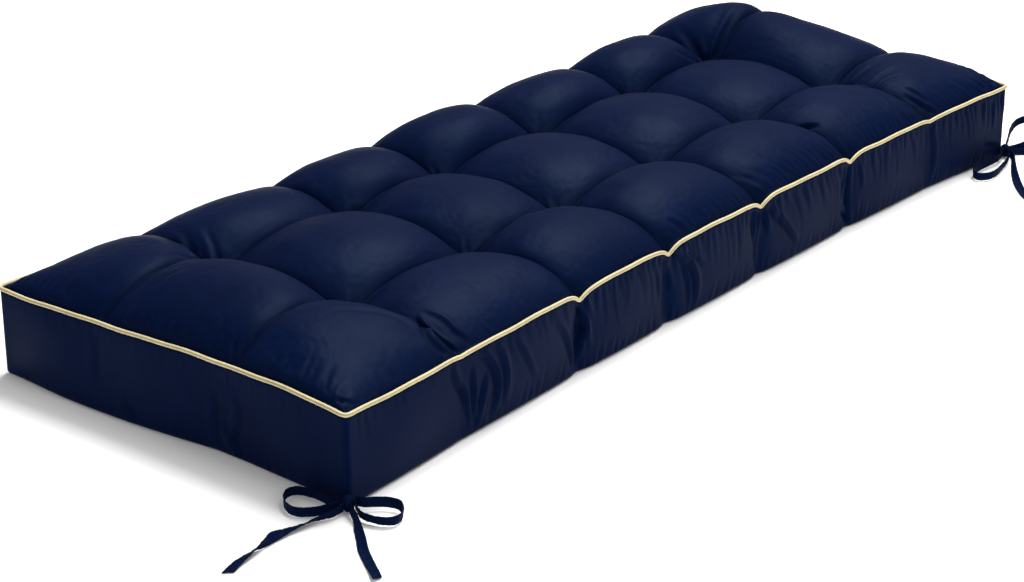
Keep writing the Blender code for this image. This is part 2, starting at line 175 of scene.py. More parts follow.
@dataclass(frozen=True)
class Crease:
    """A fold in the cloth along a smooth line, in millimetres on the cloth's surface."""

    stations: tuple[tuple[float, float], ...]
    depth: float
    width: float
    lip: float = 0.5  # height of the ridge on its left, as a share of the depth
    fade: Fade = Fade.BOTH_ENDS
    steps: int = 14
    lip_place: float = 1.8  # how far off the ridge stands, in widths
    reach: float = 4.5  # past this many widths it has no effect

    def share(self, along: Array) -> Array:
        """How deep it is along its line.

        It is sin(pi f)^0.7 where it fades at both ends. Where it fades at its far end, it
        is (1 - f)^0.8 after a short rise at its start.

        Args:
            along: Shares f of its length.

        Returns:
            Its depth there, as a part of its full depth.
        """
        if self.fade is Fade.BOTH_ENDS:
            return np.sin(np.pi * along) ** 0.7
        return (1 - along) ** 0.8 * smooth_step(along, -0.02, 0.06)

    def add_to(self, relief: Array, spots: Array) -> None:
        """Adds the crease to a relief, in metres outward.

        At distance d from the line a trough depth * exp(-(d / width)^2) is sunk, and a
        ridge of the same form is raised beside it on the line's left. Both follow share.

        Args:
            relief: Heights that are changed in place, one for each spot.
            spots: Two columns, places on the cloth's surface in metres.
        """
        line = smooth_route(np.array(self.stations), self.steps) * MM
        margin = self.width * self.reach * MM
        inside = np.all((spots > line.min(0) - margin) & (spots < line.max(0) + margin), axis=1)
        near = spots[inside]
        if not len(near):
            return
        start, run = line[:-1], np.diff(line, axis=0)
        away = near[:, None, :] - start
        part = np.clip((away * run).sum(2) / (run**2).sum(1), 0.0, 1.0)
        foot = away - part[:, :, None] * run
        distance = np.linalg.norm(foot, axis=2)
        closest = distance.argmin(1)
        rows = np.arange(len(near))
        turn = run[closest, 0] * foot[rows, closest, 1] - run[closest, 1] * foot[rows, closest, 0]
        offset = np.copysign(distance[rows, closest], turn) / (self.width * MM)
        along = (closest + part[rows, closest]) / self.steps
        profile = self.lip * np.exp(-((offset - self.lip_place) ** 2)) - np.exp(-(offset**2))
        relief[inside] += self.depth * MM * profile * self.share(along)


def add_creases(relief: Array, spots: Array, creases: Iterable[Crease]) -> None:
    """Adds several creases to a relief, one after the other."""
    for crease in creases:
        crease.add_to(relief, spots)


# ---- Form of the cushion ------------------------------------------------------------
@dataclass(frozen=True)
class Lattice:
    """Positions across one direction, the puff each belongs to and its place there."""

    position: Array
    puff: Array
    place: Array  # from -1 to 1 in its puff

    def weights(self) -> Array:
        """Shares of a puff's low side, middle and high side, for a parabola through them."""
        s = self.place
        return np.stack([s * (s - 1) / 2, 1 - s**2, s * (s + 1) / 2], axis=1)

    def dome(self, power: float, valley: float, seam: float) -> Array:
        """Rise of a puff across this direction: (1 - |place|^power) to a second power.

        Args:
            power: How square the puff is.
            valley: The second power on the halves that slope to a valley.
            seam: The second power on the halves that slope to the piped edge.

        Returns:
            The rise at each position, from 0 on the sewn lines to 1.
        """
        last = self.puff.max()
        at_seam = ((self.puff == 0) & (self.place < 0)) | ((self.puff == last) & (self.place > 0))
        return np.maximum(0.0, 1 - np.abs(self.place) ** power) ** np.where(at_seam, seam, valley)


@dataclass(frozen=True)
class CushionForm:
    """Driving sizes of the cushion, the same as its solids have, in metres."""

    length: float = 1.302
    width: float = 0.505
    edge_height: float = 0.101
    valley_height: float = 0.120
    end_valleys: tuple[tuple[float, float], ...] = ((0.138, 0.126), (0.132, 0.156))
    tuft_height: float = 0.096
    crests: tuple[tuple[float, ...], ...] = (
        (0.141, 0.136, 0.139, 0.142, 0.141, 0.140, 0.140),
        (0.152, 0.151, 0.144, 0.146, 0.148, 0.145, 0.158),
        (0.138, 0.142, 0.145, 0.153, 0.150, 0.152, 0.157),
    )
    column_lines: tuple[float, ...] = (-0.478, -0.275, -0.108, 0.080, 0.278, 0.463)
    row_lines: tuple[float, ...] = (-0.097, 0.097)
    side_draw_in: float = 0.020
    side_draw_power: float = 3
    draw_in_skew: float = 0.25
    end_draw_in: float = 0.006
    near_edge_lean: float = 0.016
    lean_evenness: float = 4
    lean_fade: float = 3
    long_edge_sag: float = 0.004
    end_rise: float = 0.008
    end_rise_skew: float = 0.25
    edge_fade: float = 12
    notch_depths: tuple[float, ...] = (0.002, 0.011, 0.011, 0.010, 0.010, 0.003)
    notch_reach: float = 0.011
    notch_rounding: float = 1.3
    notch_pull_in: float = 0.003
    notch_pull_fade: float = 6
    far_notch_share: float = 0.6
    dome_power: float = 2.3
    valley_power: float = 0.72
    seam_power: float = 0.65
    end_seam_power: float = 0.4
    wall_bulge: float = 0.004
    wall_crease: float = 0.005
    foot_swell: float = 0.010
    foot_pinch: float = 0.004
    foot_swell_middle: float = 0.45
    foot_swell_span: float = 1.1
    corner_round: float = 0.007
    piping_seat: float = 0.0038
    foot_round: float = 0.006
    underside_valley: float = 0.010
    underside_tuft: float = 0.024
    underside_sag: float = 0.016
    wave_height: float = 0.0005  # unevenness of the piped edge
    wave_lengths: tuple[float, float] = (0.151, 0.067)
    crowding: float = 0.5  # how much closer the lattice is near the sewn lines

    @property
    def columns(self) -> int:
        """Number of puffs along the cushion."""
        return len(self.column_lines) + 1

    @property
    def rows(self) -> int:
        """Number of puffs across the cushion."""
        return len(self.row_lines) + 1

    def lattice(self, lines: Sequence[float], half: float, steps: int) -> Lattice:
        """The lattice across one direction.

        Each stretch between two lines has the same number of steps. A place in it is
        a mix of an even spacing and the sine that crowds the steps near the lines.

        Args:
            lines: The sewn lines between the two edges.
            half: Half the distance between the edges.
            steps: Steps in each stretch.

        Returns:
            Positions, puffs and places of all the lattice's points.
        """
        edges = np.array([-half, *lines, half])
        index = np.arange((len(edges) - 1) * steps + 1)
        puff = np.minimum(index // steps, len(edges) - 2)
        even = 2 * (index - puff * steps) / steps - 1
        place = (1 - self.crowding) * even + self.crowding * np.sin(0.5 * np.pi * even)
        middle = 0.5 * (edges[puff] + edges[puff + 1])
        return Lattice(middle + 0.5 * (edges[puff + 1] - edges[puff]) * place, puff, place)

    def lattices(self, inset: float, steps: int) -> tuple[Lattice, Lattice]:
        """The two lattices of a panel.

        Args:
            inset: How far the panel's rim lies inside the outline.
            steps: Steps in each puff.

        Returns:
            The lattice along the cushion and the one across it.
        """
        along = self.lattice(self.column_lines, self.length / 2 - inset, steps)
        across = self.lattice(self.row_lines, self.width / 2 - inset, steps)
        return along, across

    def notch(self, x: Array, y: Array) -> Array:
        """How deep the piped edge dips, the deepest of depth * exp(-(d / reach)^rounding).

        Args:
            x: Positions along the cushion, each d away from a line of tufts.
            y: Positions across it, of which only the side counts.

        Returns:
            The dip at each position, which is less on the far side.
        """
        away = np.abs(x[..., None] - np.array(self.column_lines)) / self.notch_reach
        dip = (np.array(self.notch_depths) * np.exp(-(away**self.notch_rounding))).max(-1)
        return dip * np.where(y > 0, self.far_notch_share, 1.0)

    def rim_level(self, x: Array, y: Array) -> Array:
        """Height of the piped edge without its dips.

        It sags between the corners above the bows' side, and along the short ends it
        rises by rise * (1 - v^2) * (skew - v), which is most on the bows' half.

        Args:
            x: Positions along the cushion.
            y: Positions across it, where v is the share of the way to the edge.

        Returns:
            The height at each position.
        """
        v = np.clip(2 * y / self.width, -1.0, 1.0)
        at_end = np.minimum(1.0, np.abs(2 * x / self.length)) ** self.edge_fade
        rise = at_end * self.end_rise * (1 - v * v) * (self.end_rise_skew - v)
        return self.edge_height + rise - (1 - at_end) * self.long_edge_sag * (v < 0)

    def rim_dip(self, x: Array, y: Array, inset: float) -> Array:
        """How far the notches and the edge's unevenness lower the cloth.

        Both fade away from the rim as |v|^fade and |u|^fade, where u and v are the shares
        of the way from the middle to the rim. The unevenness is two sines along the edge.

        Args:
            x: Positions along the cushion.
            y: Positions across it.
            inset: How far the panel's rim lies inside the outline.

        Returns:
            The dip at each position, in metres.
        """
        near_end = np.minimum(1.0, np.abs(x) / (self.length / 2 - inset)) ** self.edge_fade
        near_side = np.minimum(1.0, np.abs(y) / (self.width / 2 - inset)) ** self.edge_fade
        turns = 2 * np.pi / np.array(self.wave_lengths)
        side_wave = np.sin(turns[0] * x + y) + 0.6 * np.sin(turns[1] * x - 2 * y)
        end_wave = np.sin(turns[0] * y + x) + 0.6 * np.sin(turns[1] * y - 2 * x)
        uneven = self.wave_height * (side_wave * near_side + end_wave * near_end)
        return self.notch(x, y) * near_side + uneven

    def plan(self, x: Array, y: Array, inset: float) -> tuple[Array, Array]:
        """Plan position of lattice points once the sides have pulled in.

        The corner squares of the lattice are first turned into quarter rounds: a point
        keeps its greater share of the way to the corner and moves onto the ray through
        it. Then a long side is pulled in by draw_in * (1 - |u|^power), skewed towards
        +X, and at the notches a little more. A short side is pulled in by
        end_draw_in * (1 - v^2). Towards the side with the bows the tuft lines lean to +X,
        as |v|^fade.

        Args:
            x: Positions along the cushion.
            y: Positions across it.
            inset: How far the panel's rim lies inside the outline.

        Returns:
            The new positions along and across.
        """
        half_x, half_y = self.length / 2 - inset, self.width / 2 - inset
        round_by = self.corner_round
        p = np.maximum(0.0, np.abs(x) - (half_x - round_by)) / round_by
        q = np.maximum(0.0, np.abs(y) - (half_y - round_by)) / round_by
        ray = np.maximum(np.hypot(p, q), 1e-9)
        keep = np.where((p > 0) & (q > 0), np.maximum(p, q) / ray, 1.0)
        x = x - np.sign(x) * round_by * p * (1 - keep)
        y = y - np.sign(y) * round_by * q * (1 - keep)
        u, v = np.clip(x / half_x, -1, 1), np.clip(y / half_y, -1, 1)
        side = self.side_draw_in * (1 - np.abs(u) ** self.side_draw_power)
        side = side * (1 + self.draw_in_skew * u)
        pull = self.notch(x, y) / max(self.notch_depths) * np.abs(v) ** self.notch_pull_fade
        side = side + self.notch_pull_in * pull
        lean = self.near_edge_lean * (1 - np.abs(u) ** self.lean_evenness)
        lean = lean * np.maximum(0.0, -v) ** self.lean_fade
        return x - u * self.end_draw_in * (1 - v**2) + lean, y - v * side

    def supports(self) -> Array:
        """Heights that carry the top panel, on and halfway between the sewn lines.

        On the lines they are given. In the middle of a puff it is the mean of the four
        that stand beside it.

        Returns:
            A grid of heights with two steps to a puff, along and across the cushion.
        """
        x_lines = np.array([-self.length / 2, *self.column_lines, self.length / 2])
        y_lines = np.array([-self.width / 2, *self.row_lines, self.width / 2])
        last_x, last_y = 2 * self.columns, 2 * self.rows
        x = np.interp(np.arange(last_x + 1) / 2, np.arange(len(x_lines)), x_lines)
        y = np.interp(np.arange(last_y + 1) / 2, np.arange(len(y_lines)), y_lines)
        heights = np.full((last_x + 1, last_y + 1), self.valley_height)
        heights[2:last_x:2, 2:last_y:2] = self.tuft_height
        ends = np.array(self.end_valleys)
        heights[1, 2:last_y:2], heights[last_x - 1, 2:last_y:2] = ends[:, 0], ends[:, 1]
        grid_x, grid_y = np.meshgrid(x, y, indexing="ij")
        rim = self.rim_level(grid_x, grid_y)
        for edge in (np.s_[0, :], np.s_[last_x, :], np.s_[:, 0], np.s_[:, last_y]):
            heights[edge] = rim[edge]
        left_right = heights[:-2:2, 1::2] + heights[2::2, 1::2]
        near_far = heights[1::2, :-2:2] + heights[1::2, 2::2]
        heights[1::2, 1::2] = (left_right + near_far) / 4
        return heights

    def top_height(self, along: Lattice, across: Lattice) -> tuple[Array, Array]:
        """Height of the top panel on its lattice.

        The base is the double parabola through each puff's nine supports. On it stands
        the puff, as high as its crest, with the product of two domes as its form. Near
        the rim the dips of the piped edge are taken off.

        Args:
            along: The lattice along the cushion, inside the piping.
            across: The lattice across it.

        Returns:
            The heights, and the puffs' form from 0 on the sewn lines to 1.
        """
        supports = self.supports()
        columns = 2 * along.puff[:, None] + np.arange(3)
        rows = 2 * across.puff[:, None] + np.arange(3)
        nine = supports[columns[:, None, :, None], rows[None, :, None, :]]
        base = np.einsum("ia,jb,ijab->ij", along.weights(), across.weights(), nine)
        crests = np.array(self.crests)[across.puff[None, :], along.puff[:, None]]
        middles = supports[1::2, 1::2][along.puff[:, None], across.puff[None, :]]
        lengthwise = along.dome(self.dome_power, self.valley_power, self.end_seam_power)[:, None]
        crosswise = across.dome(self.dome_power, self.valley_power, self.seam_power)[None, :]
        puff = lengthwise * crosswise
        x, y = np.meshgrid(along.position, across.position, indexing="ij")
        dip = self.rim_dip(x, y, self.piping_seat)
        return base + (crests - middles) * puff - dip, puff

    def underside_height(self, along: Lattice, across: Lattice) -> Array:
        """Height of the underside, which is flat where the puffs press on the surface.

        The sewn lines stand at valley + (tuft - valley) * (s t)^2, and the puffs hang
        down from them by ((1 - s^power) * (1 - t^power))^valley_power, held at 0.

        Args:
            along: The lattice along the cushion, inside the foot, with places s.
            across: The lattice across it, with places t.

        Returns:
            The heights.
        """
        s, t = np.abs(along.place)[:, None], np.abs(across.place)[None, :]
        crossing = (s * t) ** 2
        lines = self.underside_valley + (self.underside_tuft - self.underside_valley) * crossing
        power = self.dome_power
        puff = np.maximum(0.0, (1 - s**power) * (1 - t**power)) ** self.valley_power
        return np.maximum(0.0, lines - (self.underside_valley + self.underside_sag) * puff)


def ring_of(grid: Array) -> Array:
    """The rim of a grid, anticlockwise as seen from above, from its low corner."""
    return np.concatenate([grid[:-1, 0], grid[-1, :-1], grid[:0:-1, -1], grid[0, :0:-1]])


@dataclass(frozen=True)
class Rim:
    """The cushion's outline at the piped edge, as a closed ring of points."""

    edge: Array  # x, y and height of the outline
    out: Array  # which way the wall faces
    place: Array  # place of each point in its puff
    dip: Array  # depth of the notches there, as a share of the deepest
    arc: Array  # length along the ring

    @classmethod
    def trace(cls, form: CushionForm, steps: int) -> "Rim":
        """Works the ring out.

        Args:
            form: The cushion's sizes.
            steps: Lattice steps in each puff.

        Returns:
            The ring, anticlockwise as seen from above.
        """
        along, across = form.lattices(0.0, steps)
        x, y = np.meshgrid(along.position, across.position, indexing="ij")
        plan_x, plan_y = form.plan(x, y, 0.0)
        height = form.rim_level(x, y) - form.rim_dip(x, y, 0.0)
        edge = np.stack([ring_of(plan_x), ring_of(plan_y), ring_of(height)], axis=1)
        ahead = closed_tangents(edge * [1, 1, 0])
        out = np.stack([ahead[:, 1], -ahead[:, 0], np.zeros(len(edge))], axis=1)
        s, t = np.meshgrid(along.place, across.place, indexing="ij")
        on_long = np.abs(ring_of(y)) >= form.width / 2 - 1e-9
        place = np.where(on_long, ring_of(s), ring_of(t))
        dip = on_long * form.notch(ring_of(x), ring_of(y)) / max(form.notch_depths)
        return cls(edge, out, place, dip, arc_lengths(edge))


# ---- Finishes -----------------------------------------------------------------------
class Wiring:
    """A node tree and short calls that add to it."""

    def __init__(self, tree: bpy.types.NodeTree) -> None:
        """Starts on an existing tree."""
        self.tree = tree

    def node(self, kind: str, *sources: Source, **settings: object) -> bpy.types.Node:
        """Adds a node.

        Args:
            kind: The node's type.
            *sources: Sockets or values for its first inputs, None to leave one alone.
            **settings: Properties of the node.

        Returns:
            The node.
        """
        made = self.tree.nodes.new(kind)
        for key, value in settings.items():
            setattr(made, key, value)
        for socket, source in zip(made.inputs, sources):
            self.feed(socket, source)
        return made

    def feed(self, socket: Socket, source: Source) -> None:
        """Links a socket to another one, or sets it to a value.

        Args:
            socket: The input that is fed.
            source: A socket or a value, or None to leave the input alone.
        """
        if isinstance(source, Socket):
            self.tree.links.new(source, socket)
        elif source is not None:
            socket.default_value = source

    def maths(self, operation: str, *sources: Source) -> Socket:
        """A sum, product or other calculation on single values."""
        return self.node("ShaderNodeMath", *sources, operation=operation).outputs[0]

    def spread(self, value: Socket, low: float, high: float, first: float, last: float) -> Socket:
        """Maps a value from low and high to first and last, held at both ends."""
        return self.node("ShaderNodeMapRange", value, low, high, first, last).outputs[0]

    def noise(self, place: Socket, scale: Source, detail: float, roughness: float) -> Socket:
        """Noise at a place.

        Args:
            place: Where it is read.
            scale: How many of its patches lie in a metre.
            detail: How many finer layers it has.
            roughness: How strong the finer layers are.

        Returns:
            A value between 0 and 1.
        """
        made = self.node("ShaderNodeTexNoise")
        inputs = {"Vector": place, "Scale": scale, "Detail": detail, "Roughness": roughness}
        for name, source in inputs.items():
            self.feed(made.inputs[name], source)
        return made.outputs["Fac"]

    def stretched(self, place: Socket, scale: Source, turn: float = 0.0) -> Socket:
        """A place that is scaled and then turned about Z.

        Args:
            place: The place.
            scale: The scales along X, Y and Z.
            turn: The angle, in radians.

        Returns:
            The new place.
        """
        made = self.node("ShaderNodeMapping")
        self.feed(made.inputs["Vector"], place)
        made.inputs["Scale"].default_value = scale
        made.inputs["Rotation"].default_value = (0.0, 0.0, turn)
        return made.outputs["Vector"]

    def blend(self, share: Socket, first: Source, second: Source) -> Socket:
        """A colour between two colours.

        Args:
            share: How much of the second it has.
            first: The first colour.
            second: The second colour.

        Returns:
            The colour.
        """
        made = self.node("ShaderNodeMix", data_type="RGBA")
        self.feed(made.inputs["Factor"], share)
        self.feed(made.inputs["A"], first)
        self.feed(made.inputs["B"], second)
        return made.outputs["Result"]


def node_group(
    name: str, inputs: dict[str, tuple[str, float | None]], outputs: Sequence[str]
) -> tuple[Wiring, bpy.types.Node, bpy.types.Node]:
    """An empty shader node group.

    Args:
        name: Its name.
        inputs: For each input its kind of socket and its first value, if it has one.
        outputs: Names of its outputs, all single values.

    Returns:
        The group's wiring, its input node and its output node.
    """
    tree = bpy.data.node_groups.new(name, "ShaderNodeTree")
    for label, (kind, first) in inputs.items():
        socket = tree.interface.new_socket(name=label, in_out="INPUT", socket_type=kind)
        if first is not None:
            socket.default_value = first
    for label in outputs:
        tree.interface.new_socket(name=label, in_out="OUTPUT", socket_type="NodeSocketFloat")
    wiring = Wiring(tree)
    return wiring, wiring.node("NodeGroupInput"), wiring.node("NodeGroupOutput")


def threads_group() -> bpy.types.NodeTree:
    """Plain weave: two sets of threads that pass over and under each other.

    The height is half sin(pi u / pitch) * sin(pi v / pitch), plus the slub: each set's
    yarn is uneven along its own length, as noise that is drawn out along the thread.

    Returns:
        The group.
    """
    along, aside, detail, roughness = 26, 900, 2.0, 0.6
    wiring, given, result = node_group(
        "plain_weave",
        {"Weave": ("NodeSocketVector", None), "Pitch": ("NodeSocketFloat", 0.0006)},
        ("Height", "Slub"),
    )
    split = wiring.node("ShaderNodeSeparateXYZ", given.outputs["Weave"])
    turn = wiring.maths("DIVIDE", math.pi, given.outputs["Pitch"])
    over, under = (
        wiring.maths("SINE", wiring.maths("MULTIPLY", split.outputs[axis], turn)) for axis in (0, 1)
    )
    crossing = wiring.maths("MULTIPLY", over, under)
    warp, weft = (
        wiring.noise(wiring.stretched(given.outputs["Weave"], scale), 1.0, detail, roughness)
        for scale in ((aside, along, 1), (along, aside, 1))
    )
    slub = wiring.maths("MULTIPLY", wiring.maths("ADD", warp, weft), 0.5)
    height = wiring.maths("ADD", wiring.maths("MULTIPLY", crossing, 0.5), slub)
    wiring.feed(result.inputs["Height"], height)
    wiring.feed(result.inputs["Slub"], slub)
    return wiring.tree


def handling_group() -> bpy.types.NodeTree:
    """Marks of making and use: uneven dye and places that were rubbed.

    Dye is broad soft noise. Rubbed is finer noise with its peaks kept, on crests only,
    where Hollow is low. Both come from places on the object.

    Returns:
        The group.
    """
    finer_by, dye_range, peak_range = 6.0, (0.3, 0.7), (0.5, 0.72)
    wiring, given, result = node_group(
        "handling",
        {
            "Place": ("NodeSocketVector", None),
            "Hollow": ("NodeSocketFloat", 0.0),
            "Size": ("NodeSocketFloat", 9.0),
        },
        ("Dye", "Rubbed"),
    )
    dye = wiring.noise(given.outputs["Place"], given.outputs["Size"], 3.0, 0.55)
    finer = wiring.maths("MULTIPLY", given.outputs["Size"], finer_by)
    rub = wiring.noise(given.outputs["Place"], finer, 4.0, 0.6)
    peaks = wiring.spread(rub, *peak_range, 0, 1)
    crest = wiring.maths("SUBTRACT", 1.0, given.outputs["Hollow"])
    wiring.feed(result.inputs["Dye"], wiring.spread(dye, *dye_range, 0.0, 1.0))
    wiring.feed(result.inputs["Rubbed"], wiring.maths("MULTIPLY", peaks, crest))
    return wiring.tree


@dataclass(frozen=True)
class ClothFinish:
    """A woven cloth: its colours, its threads and how it takes the light."""

    name: str
    deep: tuple[float, float, float]  # painted shade colour, down in the folds and hollows
    body: tuple[float, float, float]
    worn: tuple[float, float, float]  # on rubbed crests
    roughness: float
    sheen: float
    sheen_tint: tuple[float, float, float]
    specular: float
    specular_tint: tuple[float, float, float]
    pitch: float  # from thread to thread
    thread_height: float
    bias: float = 0.0  # turn of the threads, in radians
    patch_size: float = 9.0
    painted_shade_share: float = 0.6  # how much painted shade darkens the colour in a fold
    dye_share: float = 0.25  # how much the uneven dye does
    slub_share: float = 0.12  # how much the uneven yarn does, either way
    slub_range: tuple[float, float] = (0.35, 0.65)
    rubbed_share: float = 0.35  # how worn a rubbed crest looks
    dye_dulls: float = 0.08  # what dye and folds add to the roughness
    hollow_dulls: float = 0.1
    sheen_roughness: float = 0.45
    relief_strength: float = 0.3  # of the threads

    def material(self, groups: dict[str, bpy.types.NodeTree]) -> bpy.types.Material:
        """Makes the material.

        Args:
            groups: The shared groups, by name.

        Returns:
            The material.
        """
        made = bpy.data.materials.new(self.name)
        made.use_nodes = True
        wiring = Wiring(made.node_tree)
        shader = made.node_tree.nodes["Principled BSDF"]
        weave_map = wiring.node("ShaderNodeUVMap", uv_map=WEAVE_MAP).outputs["UV"]
        weave_place = wiring.stretched(weave_map, (1, 1, 1), self.bias)
        place = wiring.node("ShaderNodeTexCoord").outputs["Object"]
        hollow = wiring.node("ShaderNodeAttribute", attribute_name=HOLLOW).outputs["Fac"]
        threads = wiring.node("ShaderNodeGroup", node_tree=groups["threads"])
        wiring.feed(threads.inputs["Weave"], weave_place)
        threads.inputs["Pitch"].default_value = self.pitch
        handling = wiring.node("ShaderNodeGroup", node_tree=groups["handling"])
        wiring.feed(handling.inputs["Place"], place)
        wiring.feed(handling.inputs["Hollow"], hollow)
        handling.inputs["Size"].default_value = self.patch_size

        # painted shade: by hollow, the colour darkens towards deep down in folds and valleys
        depth = wiring.maths("MULTIPLY", hollow, self.painted_shade_share)
        dye_and_painted_shade = wiring.maths("MULTIPLY_ADD", handling.outputs["Dye"], self.dye_share, depth)
        slub = threads.outputs["Slub"]
        slub = wiring.spread(slub, *self.slub_range, self.slub_share, -self.slub_share)
        shade = wiring.maths("ADD", dye_and_painted_shade, slub)
        shade.node.use_clamp = True
        colour = wiring.blend(shade, (*self.body, 1), (*self.deep, 1))
        rubbed = wiring.maths("MULTIPLY", handling.outputs["Rubbed"], self.rubbed_share)
        wiring.feed(shader.inputs["Base Color"], wiring.blend(rubbed, colour, (*self.worn, 1)))
        dull = handling.outputs["Dye"]
        dull = wiring.maths("MULTIPLY_ADD", dull, self.dye_dulls, self.roughness)
        dull = wiring.maths("MULTIPLY_ADD", hollow, self.hollow_dulls, dull)
        wiring.feed(shader.inputs["Roughness"], dull)
        shader.inputs["Specular IOR Level"].default_value = self.specular
        shader.inputs["Specular Tint"].default_value = (*self.specular_tint, 1)
        shader.inputs["Sheen Weight"].default_value = self.sheen
        shader.inputs["Sheen Roughness"].default_value = self.sheen_roughness
        shader.inputs["Sheen Tint"].default_value = (*self.sheen_tint, 1)
        bump = wiring.node("ShaderNodeBump")
        bump.inputs["Strength"].default_value = self.relief_strength
        bump.inputs["Distance"].default_value = self.thread_height
        wiring.feed(bump.inputs["Height"], threads.outputs["Height"])
        wiring.feed(shader.inputs["Normal"], bump.outputs["Normal"])
        return made


NAVY_CLOTH = ClothFinish(
    name="navy_cloth",
    deep=(0.0003, 0.0015, 0.0095),
    body=(0.0008, 0.0042, 0.0250),
    worn=(0.0016, 0.0062, 0.0310),
    roughness=0.48,
    sheen=0.0,
    sheen_tint=(0.35, 0.55, 1.0),
    specular=0.034,
    specular_tint=(0.28, 0.62, 1.0),
    pitch=0.0006,
    thread_height=0.00012,
)
CREAM_PIPING = ClothFinish(
    name="cream_piping",
    # deep is the painted shade in the piping's groove and where it meets the pad
    deep=(0.20, 0.155, 0.075),
    body=(0.60, 0.52, 0.30),
    worn=(0.70, 0.63, 0.42),
    roughness=0.62,
    sheen=0.1,
    sheen_tint=(1.0, 0.95, 0.8),
    specular=0.25,
    specular_tint=(1.0, 1.0, 1.0),
    pitch=0.0006,
    thread_height=0.00014,
    bias=math.pi / 4,
    patch_size=30.0,
    painted_shade_share=0.8,
)
NAVY_TIE = ClothFinish(
    name="navy_tie",
    deep=(0.0008, 0.0021, 0.0105),
    body=(0.0018, 0.0057, 0.0260),
    worn=(0.0033, 0.0082, 0.0330),
    roughness=0.42,
    sheen=0.0,
    sheen_tint=(0.35, 0.55, 1.0),
    specular=0.012,
    specular_tint=(0.36, 0.60, 1.0),
    pitch=0.0005,
    thread_height=0.00010,
    patch_size=40.0,
)


def dress(piece: bpy.types.Object, finish: ClothFinish, looks: Looks) -> None:
    """Gives a piece its material and the body it rides on.

    Args:
        piece: The finished piece.
        finish: Its finish, which has the slot's name.
        looks: The materials of all the finishes.
    """
    piece.data.materials.append(looks[finish.name])
    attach(piece, ROOT_BODY)


# ---- Settling of the cloth ----------------------------------------------------------
def blurred(grid: Array, reach: float) -> Array:
    """A grid smoothed both ways with a bell curve, exp(-(d / reach)^2 / 2).

    Past its rim the grid is held at its rim values.

    Args:
        grid: The values.
        reach: The bell's width, in steps of the grid.

    Returns:
        The smoothed values.
    """
    span = np.arange(-int(3 * reach), int(3 * reach) + 1)
    bell = np.exp(-((span / reach) ** 2) / 2)
    bell = bell / bell.sum()
    for axis in (0, 1):
        ends = [(0, 0)] * grid.ndim
        ends[axis] = (len(span) // 2, len(span) // 2)
        held = np.pad(grid, ends, mode="edge")
        size = grid.shape[axis]
        grid = sum(b * np.take(held, np.arange(size) + k, axis=axis) for k, b in enumerate(bell))
    return grid


def doubled(grid: Array) -> Array:
    """A grid with twice the steps both ways.

    A new value is 9/16 of its two neighbours and -1/16 of the next two.

    Args:
        grid: The values.

    Returns:
        The values with new ones between them.
    """
    for axis in (0, 1):
        grid = np.moveaxis(grid, axis, 0)
        held = np.concatenate([2 * grid[:1] - grid[1:2], grid, 2 * grid[-1:] - grid[-2:-1]])
        between = (9 * (held[1:-2] + held[2:-1]) - held[:-3] - held[3:]) / 16
        finer = np.empty((2 * len(grid) - 1, *grid.shape[1:]))
        finer[::2], finer[1::2] = grid, between
        grid = np.moveaxis(finer, 0, axis)
    return grid


